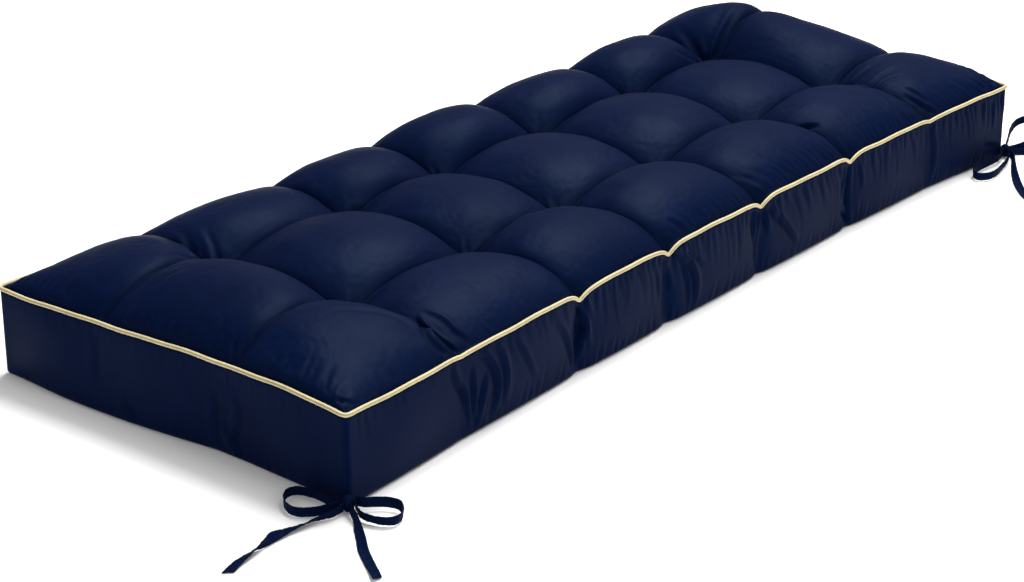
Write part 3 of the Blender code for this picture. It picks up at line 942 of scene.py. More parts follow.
@dataclass(frozen=True)
class Settling:
    """Blender's cloth on the top panel, so that its puffs settle a little unevenly."""

    frames: int = 20
    pressure: float = 4.0
    tension: float = 12.0
    bending: float = 0.02
    damping: float = 1.0
    point_mass: float = 0.02
    quality: int = 5
    first_waves: float = 0.0005  # faint unevenness that the wrinkles grow from
    wave_steps: float = 2.2
    seed: int = 7
    start_depth: float = 0.0015  # the panel starts this much lower, as it swells
    cap: float = 0.008
    blur_steps: float = 4.0
    smooth_share: float = 0.2  # of the slow movement, how much is kept
    hold_levels: int = 20  # steps in which the holding is given to the cloth

    def run(self, top: Array, held: Array) -> Array:
        """Lets Blender's cloth move a panel.

        Args:
            top: The panel's points on their grid.
            held: How firmly each point is held, from 0 to 1.

        Returns:
            How far each point moved, held to the cap: wrinkles, and a share of the swelling.
        """
        inner = smooth_step(1 - held, 0.0, 0.6)
        faint = blurred(np.random.default_rng(self.seed).normal(size=held.shape), self.wave_steps)
        faint = faint * self.first_waves / faint.std()
        start = top - UP * (inner * (self.start_depth + faint))[..., None]
        ids = np.arange(held.size).reshape(held.shape)
        weave = np.zeros((4 * (ids.shape[0] - 1) * (ids.shape[1] - 1), 2))
        piece = make_piece("settling_panel", start.reshape(-1, 3), grid_quads(ids), weave)
        group = piece.vertex_groups.new(name="held")
        levels = np.round(held.ravel() * self.hold_levels).astype(int)
        for level in range(1, self.hold_levels + 1):
            group.add(np.flatnonzero(levels == level).tolist(), level / self.hold_levels, "REPLACE")
        cloth = piece.modifiers.new("settling", "CLOTH")
        settings = cloth.settings
        settings.quality = self.quality
        settings.use_pressure = True
        settings.uniform_pressure_force = self.pressure
        settings.effector_weights.gravity = 0.0
        settings.tension_stiffness = settings.compression_stiffness = self.tension
        settings.shear_stiffness = self.tension / 3
        settings.bending_stiffness = self.bending
        settings.mass = self.point_mass
        settings.tension_damping = settings.compression_damping = self.damping
        settings.shear_damping, settings.bending_damping = self.damping, self.damping / 2
        settings.vertex_group_mass = "held"
        settings.pin_stiffness = 1.0
        cloth.collision_settings.use_collision = False
        cloth.collision_settings.use_self_collision = False
        cloth.point_cache.frame_start, cloth.point_cache.frame_end = 1, self.frames
        scene = bpy.context.scene
        for frame_number in range(1, self.frames + 1):
            scene.frame_set(frame_number)
        evaluated = piece.evaluated_get(bpy.context.evaluated_depsgraph_get())
        moved = np.empty(held.size * 3, dtype=np.float32)
        evaluated.data.vertices.foreach_get("co", moved)
        move = moved.reshape(top.shape).astype(float) - top
        mesh = piece.data
        bpy.data.objects.remove(piece)
        bpy.data.meshes.remove(mesh)
        scene.frame_set(1)
        slow = blurred(move, self.blur_steps)
        move = (move - slow) + self.smooth_share * slow
        size = np.linalg.norm(move, axis=-1, keepdims=True)
        LOG.info("settling: moved up to %.1f mm", size.max() / MM)
        return move * np.minimum(1.0, self.cap / np.maximum(size, 1e-9))


# ---- Listed folds, in millimetres on the cloth ---------------------------------------
TOP_FOLDS = (
    # the folds and the ridge between them, where the first near valley meets the piping
    Crease(((-548, -140), (-510, -167), (-497, -183), (-495, -203)), 1.4, 4.5, 0.6),
    Crease(((-466, -178), (-476, -198), (-489, -219), (-480, -241)), 3.4, 3.4, 1.0),
    Crease(((-472, -186), (-474, -205), (-472, -220), (-464, -241)), 2.6, 2.8, 1.0),
    Crease(((-459, -180), (-453, -202), (-452, -222), (-441, -238)), 2.0, 3.4, 0.9),
    # pleats from the first far tuft
    Crease(((-484, 98), (-502, 106), (-522, 110), (-540, 108)), 2.4, 4.0, 0.9, Fade.FAR_END),
    Crease(((-478, 99), (-486, 116), (-470, 144), (-455, 176)), 3.4, 4.4, 1.0, Fade.FAR_END),
    Crease(((-469, 99), (-456, 120), (-444, 146)), 2.2, 4.0, 0.9, Fade.FAR_END),
    # the shallow valleys that run from the first column's tufts to the short edge
    Crease(((-484, 90), (-530, 87), (-578, 86), (-602, 86), (-628, 88)), 2.0, 6.5, 0.5, Fade.FAR_END),
    Crease(((-560, 50), (-580, 58), (-606, 60)), 1.0, 5.0, 0.6),
    Crease(((-484, -97), (-510, -106), (-540, -104)), 1.8, 5.0, 0.5, Fade.FAR_END),
    # pleats from the last far tuft
    Crease(((452, 97), (430, 106), (417, 124), (414, 154)), 3.2, 4.4, 1.0, Fade.FAR_END),
    Crease(((448, 96), (424, 98), (400, 108), (386, 124)), 2.4, 4.2, 0.9, Fade.FAR_END),
    Crease(((460, 99), (464, 120), (472, 144), (484, 172)), 3.2, 4.4, 1.0, Fade.FAR_END),
    Crease(((467, 96), (492, 98), (520, 102), (552, 110)), 2.6, 4.4, 1.0, Fade.FAR_END),
    # the fan of pleats in front of the last near tuft
    Crease(((456, -99), (476, -118), (504, -127), (534, -136)), 3.2, 3.8, 1.0, Fade.FAR_END),
    Crease(((464, -96), (492, -104), (524, -106), (560, -112)), 2.6, 4.0, 1.0, Fade.FAR_END),
    Crease(((440, -146), (462, -151), (490, -155), (538, -168)), 3.0, 3.6, 1.0, Fade.FAR_END),
    Crease(((434, -159), (460, -162), (486, -168), (524, -193)), 2.6, 3.4, 1.0, Fade.FAR_END),
    Crease(((452, -101), (448, -128), (440, -152), (424, -176)), 2.0, 4.2, 0.8, Fade.FAR_END),
    Crease(((474, -194), (479, -211), (487, -227), (497, -238)), 2.0, 3.2, 1.0),
    Crease(((485, -190), (489, -207), (493, -223)), 1.6, 3.0, 1.0),
    # the small tuck beside the fifth near tuft, and one in the near corner
    Crease(((279, -163), (286, -170), (296, -183)), 3.0, 3.0, 1.0),
    Crease(((-643, -232), (-638, -238), (-632, -247)), 1.8, 2.8, 1.0),
    Crease(((-70, -210), (-58, -222), (-50, -240)), 1.4, 3.0, 0.9),
)
NEAR_WALL_FOLDS = (
    # the fan below the first notch
    Crease(((-486, 92), (-479, 72), (-464, 50), (-457, 12)), 2.6, 3.6, 1.0),
    Crease(((-452, 80), (-450, 54), (-450, 30), (-444, 8)), 2.2, 3.2, 1.0),
    Crease(((-430, 66), (-434, 46), (-440, 28), (-445, 8)), 2.4, 3.2, 1.0),
    Crease(((-444, 92), (-424, 74), (-413, 52), (-413, 34), (-420, 14)), 3.2, 3.6, 1.0),
    Crease(((-414, 92), (-402, 70), (-398, 46), (-403, 14)), 2.6, 3.2, 1.0),
    Crease(((-388, 92), (-373, 72), (-361, 52), (-348, 26)), 1.8, 3.4, 0.9),
    Crease(((-310, 78), (-292, 56), (-280, 31), (-273, 6)), 2.4, 3.4, 1.0),
    # the folds below the second notch
    Crease(((-261, 92), (-256, 74), (-253, 54), (-258, 32), (-272, 4)), 3.6, 4.0, 0.8),
    Crease(((-268, 92), (-261, 78), (-254, 64)), 2.6, 2.8, 1.0),
    Crease(((-257, 92), (-250, 76), (-241, 58)), 2.4, 2.8, 1.0),
    Crease(((-262, 62), (-250, 44), (-247, 24)), 1.8, 3.2, 1.0),
    # the third notch, with its fan to the left
    Crease(((-96, 92), (-74, 80), (-54, 58), (-45, 34), (-45, 6)), 3.4, 4.0, 0.8),
    Crease(((-104, 86), (-92, 62), (-86, 38)), 2.0, 3.0, 1.0),
    Crease(((-88, 92), (-68, 66), (-59, 40), (-57, 12)), 2.4, 3.0, 1.0),
    Crease(((-128, 90), (-118, 62), (-114, 36)), 1.4, 3.2, 0.9),
    Crease(((-84, 92), (-52, 74), (-30, 54)), 1.8, 3.0, 0.9),
    # the fourth notch
    Crease(((95, 92), (91, 70), (88, 39), (89, 8)), 3.0, 3.8, 0.8),
    Crease(((98, 92), (118, 74), (142, 50), (158, 32), (171, 16)), 2.6, 3.4, 1.0),
    Crease(((96, 92), (104, 70), (110, 46)), 2.0, 3.0, 1.0),
    Crease(((76, 92), (78, 66), (80, 42)), 1.8, 3.0, 0.9),
    # the fifth notch and the tuck at its foot
    Crease(((291, 92), (291, 70), (292, 46), (295, 6)), 3.0, 3.8, 0.8),
    Crease(((274, 30), (286, 21), (298, 9)), 3.0, 3.4, 1.0),
    Crease(((304, 92), (313, 70), (318, 46)), 1.8, 3.0, 0.9),
    Crease(((280, 92), (276, 66), (272, 44)), 1.6, 3.0, 0.9),
    # beside the far corner
    Crease(((600, 30), (620, 24), (642, 18)), 1.8, 3.6, 0.9),
    Crease(((476, 92), (484, 66), (486, 36), (482, 10)), 1.8, 3.6, 0.9),
)
END_WALL_FOLDS = (
    Crease(((-66, 84), (-70, 56), (-68, 30), (-74, 8)), 1.1, 5.0, 0.7),
    Crease(((-100, 80), (-104, 56), (-96, 30), (-88, 6)), 1.2, 5.0, 0.8),
    Crease(((-78, 38), (-90, 22), (-102, 6)), 2.0, 4.5, 0.9),
    Crease(((102, 90), (99, 62), (97, 34)), 0.8, 6.0, 0.6),
    Crease(((60, 30), (48, 16), (40, 4)), 1.4, 5.0, 0.8),
)
FAR_WALL_FOLDS = (
    Crease(((-276, 90), (-270, 60), (-274, 30), (-268, 6)), 2.2, 6.0, 0.6),
    Crease(((-110, 90), (-116, 60), (-108, 30), (-112, 6)), 2.4, 6.0, 0.6),
    Crease(((82, 90), (76, 62), (82, 34), (80, 6)), 2.2, 6.0, 0.6),
    Crease(((276, 90), (284, 58), (278, 30), (282, 6)), 2.2, 6.0, 0.6),
    Crease(((-300, 88), (-312, 62), (-316, 40)), 1.2, 4.5, 0.8),
    Crease(((104, 88), (118, 64), (124, 40)), 1.2, 4.5, 0.8),
)


@dataclass(frozen=True)
class Gathers:
    """Short pleats that stand side by side along a seam, unevenly, by a seeded draw."""

    first: float  # along the seam, in millimetres
    last: float
    seam: float  # across it
    inward: float  # 1 or -1, which way across the pleats run
    spacing: float
    reach: tuple[float, float]  # shortest and longest
    depth: tuple[float, float]
    lean: float  # how far a pleat's end lies to one side, as a share of its reach
    seed: int
    width: tuple[float, float] = (2.2, 3.6)
    across_first: bool = False  # the seam runs along the second column instead

    def creases(self) -> list[Crease]:
        """Draws the pleats.

        Returns:
            The pleats, in their order along the seam.
        """
        draw = np.random.default_rng(self.seed)
        found = []
        place = self.first + draw.uniform(0.2, 1.0) * self.spacing
        while place < self.last:
            reach = draw.uniform(*self.reach)
            lean = (self.lean + draw.uniform(-0.16, 0.16)) * reach
            bow = draw.uniform(-0.08, 0.08) * reach
            stations = [
                (place, self.seam),
                (place + lean / 2 + bow, self.seam + self.inward * reach / 2),
                (place + lean, self.seam + self.inward * reach),
            ]
            if self.across_first:
                stations = [(across, along) for along, across in stations]
            width, depth = draw.uniform(*self.width), draw.uniform(*self.depth)
            found.append(Crease(tuple(stations), depth, width, 0.8, Fade.FAR_END, steps=8))
            place += self.spacing * draw.uniform(0.45, 1.7)
        return found


@dataclass(frozen=True)
class Puckers:
    """Small folds that run out from the tufts, unevenly, by a seeded draw."""

    count: tuple[int, int] = (4, 7)
    reach: tuple[float, float] = (14.0, 38.0)
    depth: tuple[float, float] = (0.7, 1.9)
    width: tuple[float, float] = (2.6, 4.4)
    start: float = 4.0  # how far from a tuft's middle they start
    seed: int = 23

    def creases(self, form: CushionForm) -> list[Crease]:
        """Draws the folds round each tuft.

        Args:
            form: The cushion's sizes.

        Returns:
            The folds of all the tufts.
        """
        draw = np.random.default_rng(self.seed)
        found = []
        for x in form.column_lines:
            for y in form.row_lines:
                count = int(draw.integers(*self.count)) + 1
                turns = draw.uniform(0, 2 * np.pi) + np.arange(count) * 2 * np.pi / count
                for turn in turns + draw.uniform(-0.35, 0.35, count):
                    reach = draw.uniform(*self.reach)
                    steps = self.start + np.array([0.0, reach / 2, reach])
                    bend = turn + np.array([0.0, 0.0, draw.uniform(-0.3, 0.3)])
                    spots = np.stack([np.cos(bend), np.sin(bend)], axis=1) * steps[:, None]
                    spots = spots + np.array(form.plan(np.array(x), np.array(y), 0.0)) / MM
                    depth, width = draw.uniform(*self.depth), draw.uniform(*self.width)
                    line = tuple(map(tuple, spots.tolist()))
                    found.append(Crease(line, depth, width, 0.7, Fade.FAR_END, steps=8))
        return found


TOP_GATHERS = (
    Gathers(-640, -480, -246, 1, 11.0, (10, 26), (0.5, 1.1), 0.1, 1),
    Gathers(-470, -280, -244, 1, 12.0, (14, 36), (0.7, 1.5), -0.3, 2),
    Gathers(-250, -100, -238, 1, 12.0, (12, 32), (0.6, 1.3), -0.4, 3),
    Gathers(-90, 88, -234, 1, 10.0, (14, 38), (0.7, 1.4), -0.5, 4),
    Gathers(98, 286, -233, 1, 8.0, (20, 52), (0.9, 1.9), -0.75, 5),
    Gathers(298, 470, -236, 1, 7.5, (22, 58), (1.0, 2.0), 0.15, 6),
    Gathers(478, 642, -244, 1, 8.5, (16, 46), (0.8, 1.6), -0.6, 7),
    Gathers(-600, 620, 242, -1, 13.0, (10, 30), (0.5, 1.1), 0.1, 8),
    Gathers(-245, -60, -641, 1, 9.0, (14, 38), (0.8, 1.6), 0.45, 9, across_first=True),
    Gathers(-60, 240, -639, 1, 13.0, (10, 28), (0.4, 1.0), 0.1, 10, across_first=True),
    Gathers(-240, 240, 640, -1, 11.0, (12, 34), (0.6, 1.3), 0.1, 11, across_first=True),
)
NEAR_WALL_GATHERS = (
    Gathers(-640, -500, 94, -1, 16.0, (12, 30), (0.4, 0.9), 0.15, 20),
    Gathers(-400, -270, 94, -1, 11.0, (16, 54), (0.7, 1.4), 0.3, 21),
    Gathers(-240, 88, 92, -1, 9.0, (18, 64), (0.8, 1.6), 0.2, 22),
    Gathers(96, 286, 91, -1, 9.5, (18, 66), (0.8, 1.6), 0.35, 23),
    Gathers(296, 642, 93, -1, 8.5, (18, 66), (0.8, 1.6), 0.12, 24),
    Gathers(-440, 620, 3, 1, 15.0, (12, 40), (0.6, 1.4), 0.15, 29),
)
END_WALL_GATHERS = (
    Gathers(-240, 240, 94, -1, 24.0, (10, 26), (0.2, 0.5), 0.1, 25),
    Gathers(-240, 240, 3, 1, 22.0, (8, 20), (0.3, 0.8), 0.1, 26),
)
FAR_WALL_GATHERS = (
    Gathers(-640, 640, 94, -1, 14.0, (12, 38), (0.4, 0.9), 0.1, 27),
    Gathers(-600, 600, 3, 1, 24.0, (10, 22), (0.4, 0.8), 0.1, 28),
)


# ---- Pad ----------------------------------------------------------------------------
@dataclass
class Pad:
    """The filled pad: top panel, side walls and underside as one closed form."""

    form: CushionForm
    finish: ClothFinish = NAVY_CLOTH
    steps: int = 80  # lattice steps in each puff
    foot_rows: int = 4
    wall_rows: int = 32
    seat_rows: int = 2
    bulge_climbs: tuple[float, ...] = (0.0, 0.36, 0.72, 1.0)
    bulge_shares: tuple[float, ...] = (0.35, 1.0, 0.8, 0.0)
    foot_fade: float = 0.8  # past this share of the half length the foot's swell is felt
    rim_calm: tuple[float, float] = (0.0015, 0.006)  # relief grows between these insets
    seam_depth: float = 0.0013  # groove of the upright seam at each corner
    seam_width: float = 0.0011
    tuft_hold: float = 0.006  # radius of the stitched spot of a tuft
    valley_hold: float = 0.25  # how firmly the cloth is held along a valley
    hollow_depth: float = 0.0035  # relief this deep counts as fully hollow
    foot_calm: tuple[float, float] = (0.0, 0.008)  # relief grows between these heights
    seat_calm: tuple[float, float] = (0.0005, 0.005)  # and these depths below the seat
    settling: Settling = Settling()
    puckers: Puckers = Puckers()

    def foot_swell(self, v: Array) -> Array:
        """How far an end wall's foot stands out: a cosine in v, times (1 - v^4).

        Args:
            v: Places across the cushion, from -1 at the bows' side to 1.

        Returns:
            The swell at each place, which is nowhere below the pinch.
        """
        form = self.form
        wave = np.cos(np.pi * (v - form.foot_swell_middle) / form.foot_swell_span)
        return np.maximum(-form.foot_pinch, form.foot_swell * wave * (1 - v**4))

    def wall_rings(self, rim: Rim) -> tuple[Array, Array]:
        """Points of the side walls.

        The foot is a quarter round, the wall climbs to the piping's seat, and the seat
        slopes in to the top panel. The wall bulges by bulge * share(climb) * (1 - s^2)^2
        across each puff, where share is the cubic through the stated climbs.

        Args:
            rim: The outline.

        Returns:
            The rings' points, from the foot up to just below the top panel, and the
            height along the wall of each ring, for the weave.
        """
        form = self.form
        turn = np.linspace(0, np.pi / 2, self.foot_rows + 1)
        climb = np.linspace(0, 1, self.wall_rows + 1)[1:]
        seat = np.linspace(0, 1, self.seat_rows + 1)[1:-1]
        top = rim.edge[:, 2]
        high = top - form.piping_seat
        foot_z = (form.foot_round * (1 - np.cos(turn)))[:, None] + 0 * top
        wall_z = form.foot_round + climb[:, None] * (high - form.foot_round)
        seat_z = high + seat[:, None] * form.piping_seat
        height = np.vstack([foot_z, wall_z, seat_z])
        inset = np.concatenate(
            [form.foot_round * (1 - np.sin(turn)), 0 * climb, form.piping_seat * seat]
        )
        cubic = np.polynomial.Polynomial.fit(self.bulge_climbs, self.bulge_shares, 3)
        share = np.concatenate([cubic(0.0) * np.sin(turn), cubic(climb), 0 * seat])[:, None]
        fall = np.concatenate([0 * turn + 1, 1 - climb, 0 * seat])[:, None]
        facing_end = np.abs(rim.out[:, 0])
        bulge = share * form.wall_bulge * (1 - rim.place**2) ** 2
        crease = share * form.wall_crease * rim.dip
        swell = fall * self.foot_swell(2 * rim.edge[:, 1] / form.width) * facing_end
        push = bulge - crease + swell - inset[:, None]
        points = rim.edge[None] * [1, 1, 0] + push[:, :, None] * rim.out[None]
        points = points + height[:, :, None] * UP
        return points, height.mean(axis=1)

    def dressed_walls(self, rim: Rim) -> tuple[Array, Array, Array]:
        """The walls with their folds.

        Args:
            rim: The outline.

        Returns:
            The rings' points, each ring's height, and how hollow each point is.
        """
        rings, climbs = self.wall_rings(rim)
        relief = self.wall_relief(rings, rim)
        # painted shade mask: darker down in the folds, pleats and corner seams
        hollow = np.clip(-relief / self.hollow_depth, 0, 1)
        return rings + relief[:, :, None] * rim.out[None], climbs, hollow

    def bare_top(self, steps: int) -> tuple[Array, Array]:
        """The top panel before it settles and is folded.

        Args:
            steps: Lattice steps in each puff.

        Returns:
            Its points, and the puffs' form from 0 on the sewn lines to 1.
        """
        form = self.form
        along, across = form.lattices(form.piping_seat, steps)
        height, puff = form.top_height(along, across)
        x, y = np.meshgrid(along.position, across.position, indexing="ij")
        return np.stack([*form.plan(x, y, form.piping_seat), height], axis=-1), puff

    def settled(self) -> Array:
        """Lets the top panel settle on a lattice half as fine.

        The rim and the tufts are held firmly, and the valleys loosely.

        Returns:
            How far each point of the full lattice moves.
        """
        form = self.form
        steps = self.steps // 2
        top, _ = self.bare_top(steps)
        along, across = form.lattices(form.piping_seat, steps)
        s, t = np.abs(along.place)[:, None], np.abs(across.place)[None, :]
        x, y = np.meshgrid(along.position, across.position, indexing="ij")
        spots = [(a, b) for a in form.column_lines for b in form.row_lines]
        away = np.min([np.hypot(x - a, y - b) for a, b in spots], axis=0)
        on_line = np.maximum(s, t) > 1 - 1e-9
        held = np.where(on_line, self.valley_hold, 0.0)
        held[away < self.tuft_hold] = 1.0
        held[0], held[-1], held[:, 0], held[:, -1] = 1.0, 1.0, 1.0, 1.0
        return doubled(self.settling.run(top, held))

    def top_relief(self, top: Array) -> Array:
        """Height of the folds, puckers and pleats on the top panel, along its normals.

        It fades out at the rim, where the cloth is caught in the piping's seam.

        Args:
            top: The panel's points.

        Returns:
            The height at each point.
        """
        spots = top[..., :2].reshape(-1, 2)
        relief = np.zeros(len(spots))
        add_creases(relief, spots, TOP_FOLDS)
        add_creases(relief, spots, self.puckers.creases(self.form))
        for gathers in TOP_GATHERS:
            add_creases(relief, spots, gathers.creases())
        form = self.form
        along, across = form.lattices(form.piping_seat, self.steps)
        inset_x = form.length / 2 - form.piping_seat - np.abs(along.position)
        inset_y = form.width / 2 - form.piping_seat - np.abs(across.position)
        inset = np.minimum(inset_x[:, None], inset_y[None, :])
        return relief.reshape(inset.shape) * smooth_step(inset, *self.rim_calm)

    def wall_relief(self, points: Array, rim: Rim) -> Array:
        """Height of the folds, pleats and corner seams on the side walls, outward.

        Each side has its own folds, placed by x or y and by height. It fades out at the
        foot and under the piping.

        Args:
            points: The walls' rings.
            rim: The outline.

        Returns:
            The height at each point.
        """
        form = self.form
        relief = np.zeros(points.shape[:2])
        sides = (
            (rim.out[:, 1] < -0.5, 0, NEAR_WALL_FOLDS, NEAR_WALL_GATHERS),
            (rim.out[:, 1] > 0.5, 0, FAR_WALL_FOLDS, FAR_WALL_GATHERS),
            (rim.out[:, 0] < -0.5, 1, END_WALL_FOLDS, END_WALL_GATHERS),
            (rim.out[:, 0] > 0.5, 1, END_WALL_FOLDS, END_WALL_GATHERS),
        )
        for facing, axis, folds, gathers in sides:
            spots = points[:, facing][..., [axis, 2]].reshape(-1, 2)
            found = np.zeros(len(spots))
            add_creases(found, spots, folds)
            for row in gathers:
                add_creases(found, spots, row.creases())
            relief[:, facing] = found.reshape(len(points), -1)
        corner = np.abs(np.abs(rim.out[:, 0]) - np.abs(rim.out[:, 1])) / 2
        at_corner = np.exp(-((corner * form.corner_round / self.seam_width) ** 2))
        relief = relief - self.seam_depth * at_corner
        z = points[..., 2]
        below = rim.edge[:, 2] - form.piping_seat - z
        return relief * smooth_step(z, *self.foot_calm) * smooth_step(below, *self.seat_calm)

    def panels(self) -> tuple[Array, Array, Array]:
        """The two panels, dressed.

        Returns:
            Points of the top panel, how hollow each is, and points of the underside.
        """
        form = self.form
        top, puff = self.bare_top(self.steps)
        relief = self.top_relief(top)
        slopes = np.gradient(top, axis=0), np.gradient(top, axis=1)
        normal = unit(np.cross(*slopes))
        top = top + self.settled()
        top = top + relief[..., None] * normal
        # painted shade mask: darker down in the valleys, folds and pleats
        hollow = (1 - puff) ** 4 + np.clip(-relief / self.hollow_depth, 0, 1)
        along, across = form.lattices(form.foot_round, self.steps)
        x, y = np.meshgrid(along.position, across.position, indexing="ij")
        low_x, low_y = form.plan(x, y, form.foot_round)
        near_end = smooth_step(np.abs(2 * x / form.length), self.foot_fade, 1.0)
        low_x = low_x + np.sign(x) * near_end * self.foot_swell(2 * low_y / form.width)
        under = np.stack([low_x, low_y, form.underside_height(along, across)], axis=-1)
        return top, np.clip(hollow, 0, 1), under

    def build(self, looks: Looks) -> list[bpy.types.Object]:
        """Args:
            looks: The materials of all the finishes.

        Returns:
            The pad alone.
        """
        pad = self.build_mesh()
        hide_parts("pad")
        dress(pad, self.finish, looks)
        return [pad]

    def build_mesh(self) -> bpy.types.Object:
        """Joins the two panels and the walls into one closed form.

        Returns:
            The piece.
        """
        top, hollow, under = self.panels()
        rim = Rim.trace(self.form, self.steps)
        rings, climbs, wall_hollow = self.dressed_walls(rim)
        rings = rings[1:]
        count = top[..., 0].size
        top_ids = np.arange(count).reshape(top.shape[:2])
        under_ids = top_ids + count
        ring_ids = 2 * count + np.arange(rings[..., 0].size).reshape(rings.shape[:2])
        wall_ids = np.vstack([ring_of(under_ids), ring_ids, ring_of(top_ids)])
        wall_ids = np.hstack([wall_ids, wall_ids[:, :1]])
        points = np.vstack([top.reshape(-1, 3), under.reshape(-1, 3), rings.reshape(-1, 3)])
        top_faces = grid_quads(top_ids)
        under_faces = grid_quads(under_ids)[:, ::-1]
        wall_faces = grid_quads(wall_ids.T)
        around = np.arange(len(rim.edge) + 1)
        levels = np.append(climbs, self.form.edge_height)
        wall_spots = np.stack(np.broadcast_arrays(rim.arc[around][:, None], levels[None]), axis=-1)
        wall_corners = grid_quads(np.arange(wall_ids.size).reshape(wall_ids.T.shape))
        wall_weave = wall_spots.reshape(-1, 2)[wall_corners]
        weave = np.concatenate([points[top_faces][..., :2], points[under_faces][..., :2], wall_weave])
        depth = np.zeros(len(points))
        depth[:count] = hollow.ravel()
        depth[2 * count :] = wall_hollow[1:].ravel()
        faces = np.vstack([top_faces, under_faces, wall_faces])
        return make_piece("filled_pad", points, faces, weave, depth)


# ---- Piping -------------------------------------------------------------------------
@dataclass
class Piping:
    """The round piping, a closed ring in the seat along the pad's top edge."""

    form: CushionForm
    finish: ClothFinish = CREAM_PIPING
    radius: float = 0.0024
    gap: float = 0.0003
    sides: int = 20
    steps: int = 80
    groove: float = 0.2  # depth of the line its cloth is folded along, share of the radius
    groove_at: float = 0.45  # how far round from straight outward, in radians
    groove_width: float = 0.3
    seam_at: float = 1.25 * math.pi  # where it meets the pad
    gather: float = 0.035  # unevenness of its thickness, as a share of the radius
    gather_lengths: tuple[float, float] = (0.019, 0.0073)
    pinch: float = 0.12  # how much thinner it is at the bottom of a notch
    softening: int = 3  # passes that round the bottom of a notch

    def centre(self, rim: Rim) -> Array:
        """The piping's middle line.

        Where the edge slopes by b the seat's face is turned, and a step of a outward and
        a up clears it by 2 a cos(b) / sqrt(1 + cos(b)^2).

        Args:
            rim: The outline.

        Returns:
            The points of the line, one for each of the outline's.
        """
        forward = np.roll(rim.edge, -1, axis=0) - rim.edge
        level = np.linalg.norm(forward[:, :2], axis=1) / np.linalg.norm(forward, axis=1)
        level = np.minimum(level, np.roll(level, 1))
        step = (self.radius + self.gap) * np.sqrt(1 + level**2) / (2 * level)
        line = rim.edge + (rim.out + UP) * (step - self.form.piping_seat / 2)[:, None]
        for _ in range(self.softening):
            line = (np.roll(line, 1, axis=0) + 2 * line + np.roll(line, -1, axis=0)) / 4
        return line

    def build(self, looks: Looks) -> list[bpy.types.Object]:
        """Makes and dresses the piping.

        Args:
            looks: The materials of all the finishes.

        Returns:
            The piping alone.
        """
        piping = self.build_mesh()
        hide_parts("piping")
        dress(piping, self.finish, looks)
        return [piping]

    def build_mesh(self) -> bpy.types.Object:
        """Makes the ring, a little uneven in thickness.

        A section is a circle with a groove: r * (1 - groove * exp(-(turn / width)^2)),
        with the turn measured from the groove's own place.

        Returns:
            The piece.
        """
        rim = Rim.trace(self.form, self.steps)
        line = self.centre(rim)
        arc = arc_lengths(line)
        ahead = closed_tangents(line)
        out = unit(np.cross(ahead, UP))
        up = np.cross(out, ahead)
        turn = np.arange(self.sides) * 2 * np.pi / self.sides
        waves = (np.sin(2 * np.pi * arc[:-1] / length) for length in self.gather_lengths)
        thick = self.radius * (1 - self.pinch * rim.dip)
        thick = thick * (1 + self.gather * (sum(waves) / 2 - 1))
        groove = np.exp(-(((turn - self.groove_at) / self.groove_width) ** 2))
        section = 1 - self.groove * groove
        across, rise = (section * np.cos(turn))[:, None], (section * np.sin(turn))[:, None]
        ring = across * out[:, None] + rise * up[:, None]
        points = (line[:, None] + thick[:, None, None] * ring).reshape(-1, 3)
        # a section runs clockwise as seen from ahead, so its faces are turned about
        faces = tube_quads(len(line), self.sides, closed=True)[:, ::-1]
        around = np.arange(self.sides + 1) * 2 * np.pi / self.sides * self.radius
        spots = np.stack(np.meshgrid(arc, around, indexing="ij"), axis=-1)
        corners = grid_quads(np.arange(spots[..., 0].size).reshape(spots.shape[:2]))
        # painted shade: darker on the side that meets the pad and in the groove
        hollow = np.maximum(np.clip(np.cos(turn - self.seam_at), 0, 1) ** 2, groove)
        hollow = np.tile(hollow, len(line))
        LOG.info("piping: %.3f m round", arc[-1])
        return make_piece("edge_piping", points, faces, spots.reshape(-1, 2)[corners], hollow)


# ---- Tie bows -----------------------------------------------------------------------
class RibbonEnd(Enum):
    """What a ribbon of a bow does at its far end."""

    LOOP = "object"
    TAIL = "bare"


Station = tuple[float, float, float, float]  # x, y, z in millimetres and roll in degrees
Outlet = tuple[float, float, float]  # bearing in degrees, height in millimetres, roll


@dataclass(frozen=True)
class RibbonPlan:
    """The route of one ribbon, in millimetres from the foot of its corner."""

    name: str
    outlet: Outlet
    stations: tuple[Station, ...]
    back: Outlet | None = None  # where a loop goes back into the knot
    slant: float = 0.0  # how far the cut end runs to one side, in millimetres

    @property
    def end(self) -> RibbonEnd:
        """Whether it is a loop or a free end."""
        return RibbonEnd.TAIL if self.back is None else RibbonEnd.LOOP


@dataclass(frozen=True)
class BowPlan:
    """A bow: the side it is on, which way its corner points along X, and its ribbons."""

    side: str
    toward_x: int
    ribbons: tuple[RibbonPlan, ...]


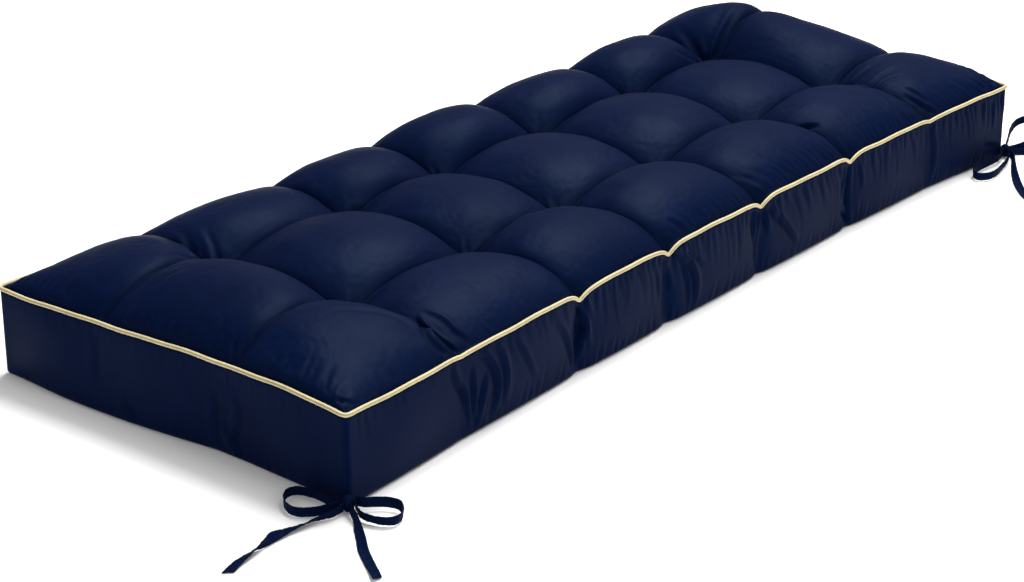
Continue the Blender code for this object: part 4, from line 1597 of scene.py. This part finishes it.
LEFT_BOW = BowPlan(
    "left",
    -1,
    (
        RibbonPlan(
            "loop_in",
            (110, 10.0, 90),
            (
                (-9, 16, 9, 90), (-8, 32, 9, 88), (-8, 46, 8, 86), (-12, 58, 7.5, 86),
                (-22, 61, 7, 88), (-33, 54, 7, 90), (-42, 41, 7, 90), (-43, 28, 7, 90),
                (-35, 16, 7.5, 88), (-25, 8, 8.5, 88),
            ),
            (150, 9.5, 88),
        ),
        RibbonPlan(
            "loop_out",
            (-20, 10.0, 90),
            (
                (9, -13, 9.5, 84), (18, -21, 9, 76), (26, -31, 8.5, 72), (28, -43, 8, 76),
                (19, -54, 7, 84), (6, -58, 6.5, 84), (-4, -50, 6.5, 78), (-9, -36, 7, 74),
                (-9, -24, 8, 80),
            ),
            (-78, 9.5, 86),
        ),
        RibbonPlan(
            "tail_in",
            (188, 8.5, 84),
            (
                (-24, -2, 7, 72), (-37, 4, 5.5, 55), (-53, 9, 4, 30), (-73, 13, 3.5, 0),
                (-91, 12, 5.5, -50), (-104, 9, 6.5, -88), (-121, 9, 4.5, -140),
                (-143, 7, 2.5, -172), (-162, 2, 1.5, -180),
            ),
            slant=3.0,
        ),
        RibbonPlan(
            "tail_out",
            (-122, 8.5, 84),
            (
                (-16, -24, 7, 70), (-25, -35, 5, 50), (-38, -51, 3.2, 28), (-53, -68, 2, 10),
                (-67, -88, 1.4, 2), (-77, -103, 1.8, -4), (-85, -114, 3, -12),
            ),
            slant=-2.5,
        ),
    ),
)
RIGHT_BOW = BowPlan(
    "right",
    1,
    (
        RibbonPlan(
            "loop_in",
            (-128, 9.5, 88),
            (
                (-14, -17, 8.5, 86), (-32, -23, 7.5, 86), (-54, -28, 7, 88), (-76, -32, 6.5, 90),
                (-94, -30, 6.5, 90), (-103, -20, 6.5, 90), (-95, -9, 7, 88), (-74, -6, 8, 86),
                (-50, -8, 9, 88), (-28, -9, 9.5, 90),
            ),
            (-168, 10.0, 90),
        ),
        RibbonPlan(
            "loop_out",
            (24, 11.5, 90),
            (
                (24, 6, 17, 88), (44, 13, 24, 84), (64, 15, 29, 84), (80, 8, 31, 88),
                (86, -6, 29, 90), (78, -17, 24, 90), (60, -19, 18, 88), (38, -15, 12.5, 86),
                (22, -10, 10, 88),
            ),
            (-12, 9.0, 90),
        ),
        RibbonPlan(
            "tail_in",
            (-100, 8.5, 84),
            (
                (-10, -21, 7, 74), (-27, -31, 5.5, 60), (-52, -46, 4.5, 45), (-84, -68, 3.2, 22),
                (-111, -91, 2, 8), (-130, -112, 1.4, 0),
            ),
            slant=2.0,
        ),
        RibbonPlan(
            "tail_out",
            (-48, 8.5, 84),
            (
                (24, -22, 6.5, 66), (42, -26, 4, 36), (66, -32, 2.4, 12), (92, -42, 1.4, 2),
                (116, -56, 1.4, 0),
            ),
            slant=-2.0,
        ),
    ),
)


@dataclass
class Ribbon:
    """A flat hemmed tie that follows a route."""

    name: str
    route: Array  # x, y, z in metres and roll in degrees
    slant: float
    width: float = 0.0105
    middle_thickness: float = 0.0008
    hem_thickness: float = 0.0014
    hem_share: float = 0.42  # share of the half width that the hems take
    hem_slope: float = 0.12  # share that the step up to a hem takes
    across: int = 11  # points across one face
    cup: float = 0.0003  # how far the middle lies off the edges' plane
    ripple: float = 0.00018
    ripple_lengths: tuple[float, float] = (0.013, 0.0055)
    ripple_turn: float = 2.2  # how far the ripples run aslant, in radians
    end_calm: float = 0.010  # within this length of its ends it has no ripples
    cut_reach: float = 0.012  # length over which the slant of its cut grows
    floor_gap: float = 0.0001

    def section(self) -> tuple[Array, Array]:
        """The cross section, anticlockwise: places across it and heights off its middle.

        The thickness goes from the middle's to the hem's by a smooth step, and closes to
        a round at the edge, as sqrt(1 - share^8).

        Returns:
            The places, from -1 to 1, and the heights.
        """
        place = np.cos(np.linspace(0, np.pi, self.across))
        hem_start = 1 - self.hem_share
        hem = smooth_step(np.abs(place), hem_start - self.hem_slope, hem_start)
        thick = self.middle_thickness + (self.hem_thickness - self.middle_thickness) * hem
        half = thick / 2 * np.sqrt(np.maximum(0.0, 1 - np.abs(place) ** 8))
        places = np.concatenate([place, place[-2:0:-1]])
        heights = np.concatenate([half, -half[-2:0:-1]])
        return places, heights

    def build(self) -> bpy.types.Object:
        """Makes the ribbon: its section carried along the route, turned by the roll.

        The section's width lies along level * cos(roll) + up * sin(roll), where level is
        square to the route. Cup and ripples push it off that plane.

        Returns:
            The piece.
        """
        line = self.route[:, :3]
        ahead = unit(np.gradient(line, axis=0))
        level = unit(np.stack([-ahead[:, 1], ahead[:, 0], 0 * ahead[:, 0]], axis=1))
        roll = np.radians(self.route[:, 3])[:, None]
        wide = level * np.cos(roll) + UP * np.sin(roll)
        face = unit(np.cross(ahead, wide))
        places, heights = self.section()
        length = np.append(0.0, np.cumsum(np.linalg.norm(np.diff(line, axis=0), axis=1)))
        left = length[-1] - length
        ends = smooth_step(length, 0, self.end_calm) * smooth_step(left, 0, self.end_calm)
        waves = (
            np.sin(2 * np.pi * length[:, None] / size + self.ripple_turn * places[None])
            for size in self.ripple_lengths
        )
        lift = self.ripple * sum(waves) * ends[:, None]
        lift = lift + self.cup * (places**2 - 0.5) * np.ones_like(lift)
        points = line[:, None] + places[None, :, None] * self.width / 2 * wide[:, None]
        points = points + (heights[None] + lift)[:, :, None] * face[:, None]
        cut = smooth_step(length, length[-1] - self.cut_reach, length[-1])[:, None] * places[None]
        points = points + (cut * self.slant * MM)[:, :, None] * ahead[:, None]
        sides = len(places)
        points[..., 2] = np.maximum(points[..., 2], self.floor_gap)
        faces = tube_quads(len(line), sides, closed=False)
        ids = np.arange(points[..., 0].size).reshape(points.shape[:2])
        caps = [ids[0].tolist(), ids[-1, ::-1].tolist()]
        aside = np.append(places, places[0]) * self.width / 2
        spots = np.stack(np.meshgrid(length, aside, indexing="ij"), axis=-1)
        corners = grid_quads(np.arange(spots[..., 0].size).reshape(spots.shape[:2]))[:, ::-1]
        weave = spots.reshape(-1, 2)[corners].reshape(-1, 2)
        cap_weave = np.zeros((2 * sides, 2))
        # painted shade: darker towards the ribbon's edges
        hollow = np.tile(np.abs(places) ** 6 * 0.5, len(line))
        return make_piece(
            self.name,
            points.reshape(-1, 3),
            [*faces.tolist(), *caps],
            np.vstack([weave, cap_weave]),
            hollow,
        )


@dataclass
class Bow:
    """A tied bow at a corner of the cushion: its knot, two loops and two free ends."""

    form: CushionForm
    plan: BowPlan
    finish: ClothFinish = NAVY_TIE
    radii: tuple[float, float, float] = (0.0080, 0.0072, 0.0092)  # across, out, up
    flat: float = 0.8  # its back is pressed flat at this share of its depth
    gap: float = 0.0003
    outlet_gap: float = 0.0006
    corner_trim: float = 0.002
    ribbon_steps: int = 150
    knot_around: int = 56
    knot_up: int = 36
    band_rise: float = 0.10  # the band round the knot's middle, as a share of its radii
    band_edge: tuple[float, float] = (0.36, 0.52)  # where it falls off, as shares too
    folds: int = 5
    fold_twist: float = 1.5
    fold_depth: float = 0.05
    full_hollow: float = 0.25  # share of the radii that counts as fully hollow
    corner: Array = field(init=False)
    facing: Array = field(init=False)
    centre: Array = field(init=False)

    def __post_init__(self) -> None:
        """Works out where the knot sits."""
        toward = np.array([self.plan.toward_x, -1.0, 0.0])
        self.corner = toward * [self.form.length / 2, self.form.width / 2, 0]
        self.facing = unit(toward)
        out = self.radii[1] * self.flat + self.gap
        self.centre = self.corner - toward * self.corner_trim + self.facing * out
        self.centre[2] = self.radii[2] + self.gap

    @property
    def across(self) -> Array:
        """The level direction square to the way the knot faces."""
        return np.cross(UP, self.facing)

    def outlet(self, place: Outlet) -> Station:
        """A station just off the knot.

        Args:
            place: Its bearing, height and roll.

        Returns:
            The station, from the foot of the corner.
        """
        bearing, height, roll = place
        turn = math.radians(bearing)
        level = np.array([math.cos(turn), math.sin(turn), 0.0])
        rise = height * MM - self.centre[2]
        ring = math.sqrt(max(0.0, 1 - (rise / self.radii[2]) ** 2))
        share = math.hypot(level @ self.across / self.radii[0], level @ self.facing / self.radii[1])
        spot = (self.centre + level * (ring / share + self.outlet_gap) - self.corner) / MM
        return spot[0], spot[1], height, roll

    def route(self, ribbon: RibbonPlan) -> Array:
        """The middle line of a ribbon.

        Args:
            ribbon: Its plan.

        Returns:
            Points in metres, with the roll in degrees.
        """
        stations = [self.outlet(ribbon.outlet), *ribbon.stations]
        if ribbon.back is not None:
            stations.append(self.outlet(ribbon.back))
        points = smooth_route(np.array(stations), self.ribbon_steps)
        points[:, :3] = points[:, :3] * MM + self.corner
        return points

    def build_knot(self) -> bpy.types.Object:
        """Makes the knot: a soft lump with the band that wraps its middle.

        On the unit sphere the band raises the radius where |across| is under half, and
        folds run towards the ribbons as a cosine of the angle round the across axis.
        The back is pressed flat.

        Returns:
            The piece.
        """
        turn = np.arange(self.knot_around) * 2 * np.pi / self.knot_around
        tilt = np.linspace(0, np.pi, self.knot_up + 1)[1:-1]
        turn, tilt = np.meshgrid(turn, tilt)
        ball = np.stack([np.cos(tilt), np.sin(tilt) * np.cos(turn), np.sin(tilt) * np.sin(turn)], -1)
        band = 1 - smooth_step(np.abs(ball[..., 0]), *self.band_edge)
        folds = np.cos(self.folds * turn + self.fold_twist * ball[..., 0])
        folds = folds * np.sin(tilt) ** 2 * (1 - band)
        size = 1 - self.band_rise + self.band_rise * band + self.fold_depth * (folds - 1) / 2
        pole = np.array([[1 - self.band_rise, 0, 0]])
        ball = np.concatenate([pole, (ball * size[..., None]).reshape(-1, 3), -pole])
        ball[:, 1] = np.maximum(ball[:, 1], -self.flat)
        across, out, up = (ball * self.radii).T
        points = self.centre + across[:, None] * self.across + out[:, None] * self.facing
        points = points + up[:, None] * UP
        rings, last = self.knot_up - 1, len(points) - 1
        faces = (tube_quads(rings, self.knot_around, closed=False) + 1).tolist()
        near = np.arange(self.knot_around)
        ahead = np.roll(near, -1)
        tip = [[0, 1 + b, 1 + a] for a, b in zip(near, ahead)]
        first_of_last = 1 + (rings - 1) * self.knot_around
        foot = [[last, first_of_last + a, first_of_last + b] for a, b in zip(near, ahead)]
        faces = faces + tip + foot
        spots = np.stack([across, up + out], axis=1)
        weave = spots[np.concatenate([np.array(face) for face in faces])]
        # painted shade: darker where the knot's surface is sunk between its folds and band
        hollow = np.clip((1 - np.linalg.norm(ball, axis=1)) / self.full_hollow, 0, 1)
        return make_piece(f"{self.plan.side}_bow_knot", points, faces, weave, hollow)

    def build(self, looks: Looks) -> list[bpy.types.Object]:
        """Makes and dresses the whole bow.

        Args:
            looks: The materials of all the finishes.

        Returns:
            The knot and the four ribbons.
        """
        side = self.plan.side
        knot = self.build_knot()
        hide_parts(f"{side}_knot")
        pieces = [knot]
        for ribbon in self.plan.ribbons:
            route = self.route(ribbon)
            piece = Ribbon(f"{side}_bow_{ribbon.name}", route, ribbon.slant).build()
            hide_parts(f"{side}_{ribbon.name}")
            pieces.append(piece)
        for piece in pieces:
            dress(piece, self.finish, looks)
        return pieces


# ---- Studio -------------------------------------------------------------------------
@dataclass(frozen=True)
class Softbox:
    """A square of soft light, aimed at the cushion."""

    name: str
    place: tuple[float, float, float]
    size: float
    watts: float
    tint: tuple[float, float, float] = (1.0, 1.0, 1.0)


@dataclass
class Studio:
    """The pale floor, the soft light and the camera at the photo's angle."""

    azimuth: float = -51.057
    elevation: float = 22.818
    distance: float = 3.0141
    aim: tuple[float, float, float] = (-0.0476, 0.0309, -0.0418)
    lens: float = 87.11
    sensor: float = 36.0
    floor_size: float = 24.0
    floor_tone: float = 0.88
    surround: float = 0.34
    boxes: tuple[Softbox, ...] = (
        Softbox("key", (2.3, 0.4, 4.6), 2.4, 400.0, (1.0, 0.99, 0.97)),
        Softbox("near_end", (-0.2, -1.1, 2.4), 0.9, 16.0),
        Softbox("long_side", (-0.2, -3.6, 1.5), 2.4, 38.0),
        Softbox("short_side", (-3.4, -0.3, 1.3), 2.2, 28.0),
    )

    def camera(self) -> None:
        """Makes the camera, level, looking at the aim point."""
        turn, rise = math.radians(self.azimuth), math.radians(self.elevation)
        back = Vector(
            (math.sin(turn) * math.cos(rise), -math.cos(turn) * math.cos(rise), math.sin(rise))
        )
        right = Vector((math.cos(turn), math.sin(turn), 0.0))
        data = bpy.data.cameras.new("photo_angle")
        data.lens, data.sensor_width = self.lens, self.sensor
        camera = bpy.data.objects.new("photo_angle", data)
        turned = Matrix((right, back.cross(right), back)).transposed().to_4x4()
        turned.translation = Vector(self.aim) + back * self.distance
        camera.matrix_world = turned
        bpy.context.scene.collection.objects.link(camera)
        bpy.context.scene.camera = camera

    def floor(self) -> None:
        """Makes the pale floor, a flat sheet at height 0."""
        half = self.floor_size / 2
        corners = [(-half, -half, 0), (half, -half, 0), (half, half, 0), (-half, half, 0)]
        mesh = bpy.data.meshes.new("floor")
        mesh.from_pydata(corners, [], [(0, 1, 2, 3)])
        floor = bpy.data.objects.new("floor", mesh)
        bpy.context.scene.collection.objects.link(floor)
        paint = bpy.data.materials.new("pale_floor")
        paint.use_nodes = True
        shader = paint.node_tree.nodes["Principled BSDF"]
        shader.inputs["Base Color"].default_value = (*[self.floor_tone] * 3, 1)
        shader.inputs["Roughness"].default_value = 0.9
        shader.inputs["Specular IOR Level"].default_value = 0.0
        mesh.materials.append(paint)

    def lights(self) -> None:
        """Makes the softboxes and the even light that surrounds the scene."""
        for box in self.boxes:
            data = bpy.data.lights.new(box.name, "AREA")
            data.shape, data.size, data.energy, data.color = "SQUARE", box.size, box.watts, box.tint
            lamp = bpy.data.objects.new(box.name, data)
            lamp.location = box.place
            lamp.rotation_euler = (-Vector(box.place)).to_track_quat("-Z", "Y").to_euler()
            bpy.context.scene.collection.objects.link(lamp)
        world = bpy.data.worlds.new("studio")
        world.use_nodes = True
        world.node_tree.nodes["Background"].inputs["Color"].default_value = (1, 1, 1, 1)
        world.node_tree.nodes["Background"].inputs["Strength"].default_value = self.surround
        bpy.context.scene.world = world
        bpy.context.scene.view_settings.view_transform = "Standard"

    def build(self) -> None:
        """Makes the camera, the floor and the lights."""
        self.camera()
        self.floor()
        self.lights()


def main() -> None:
    """Builds the studio, the bows, the pad and the piping, and reports each piece."""
    logging.basicConfig(level=logging.INFO, format="%(message)s")
    form = CushionForm()
    groups = {"threads": threads_group(), "handling": handling_group()}
    finishes = (NAVY_TIE, NAVY_CLOTH, CREAM_PIPING)
    looks = {finish.name: finish.material(groups) for finish in finishes}
    Studio().build()
    for sub_assembly in (Bow(form, LEFT_BOW), Bow(form, RIGHT_BOW), Pad(form), Piping(form)):
        for piece in sub_assembly.build(looks):
            LOG.info("%s: %d faces", piece.name, len(piece.data.polygons))


if __name__ == "__main__":
    main()
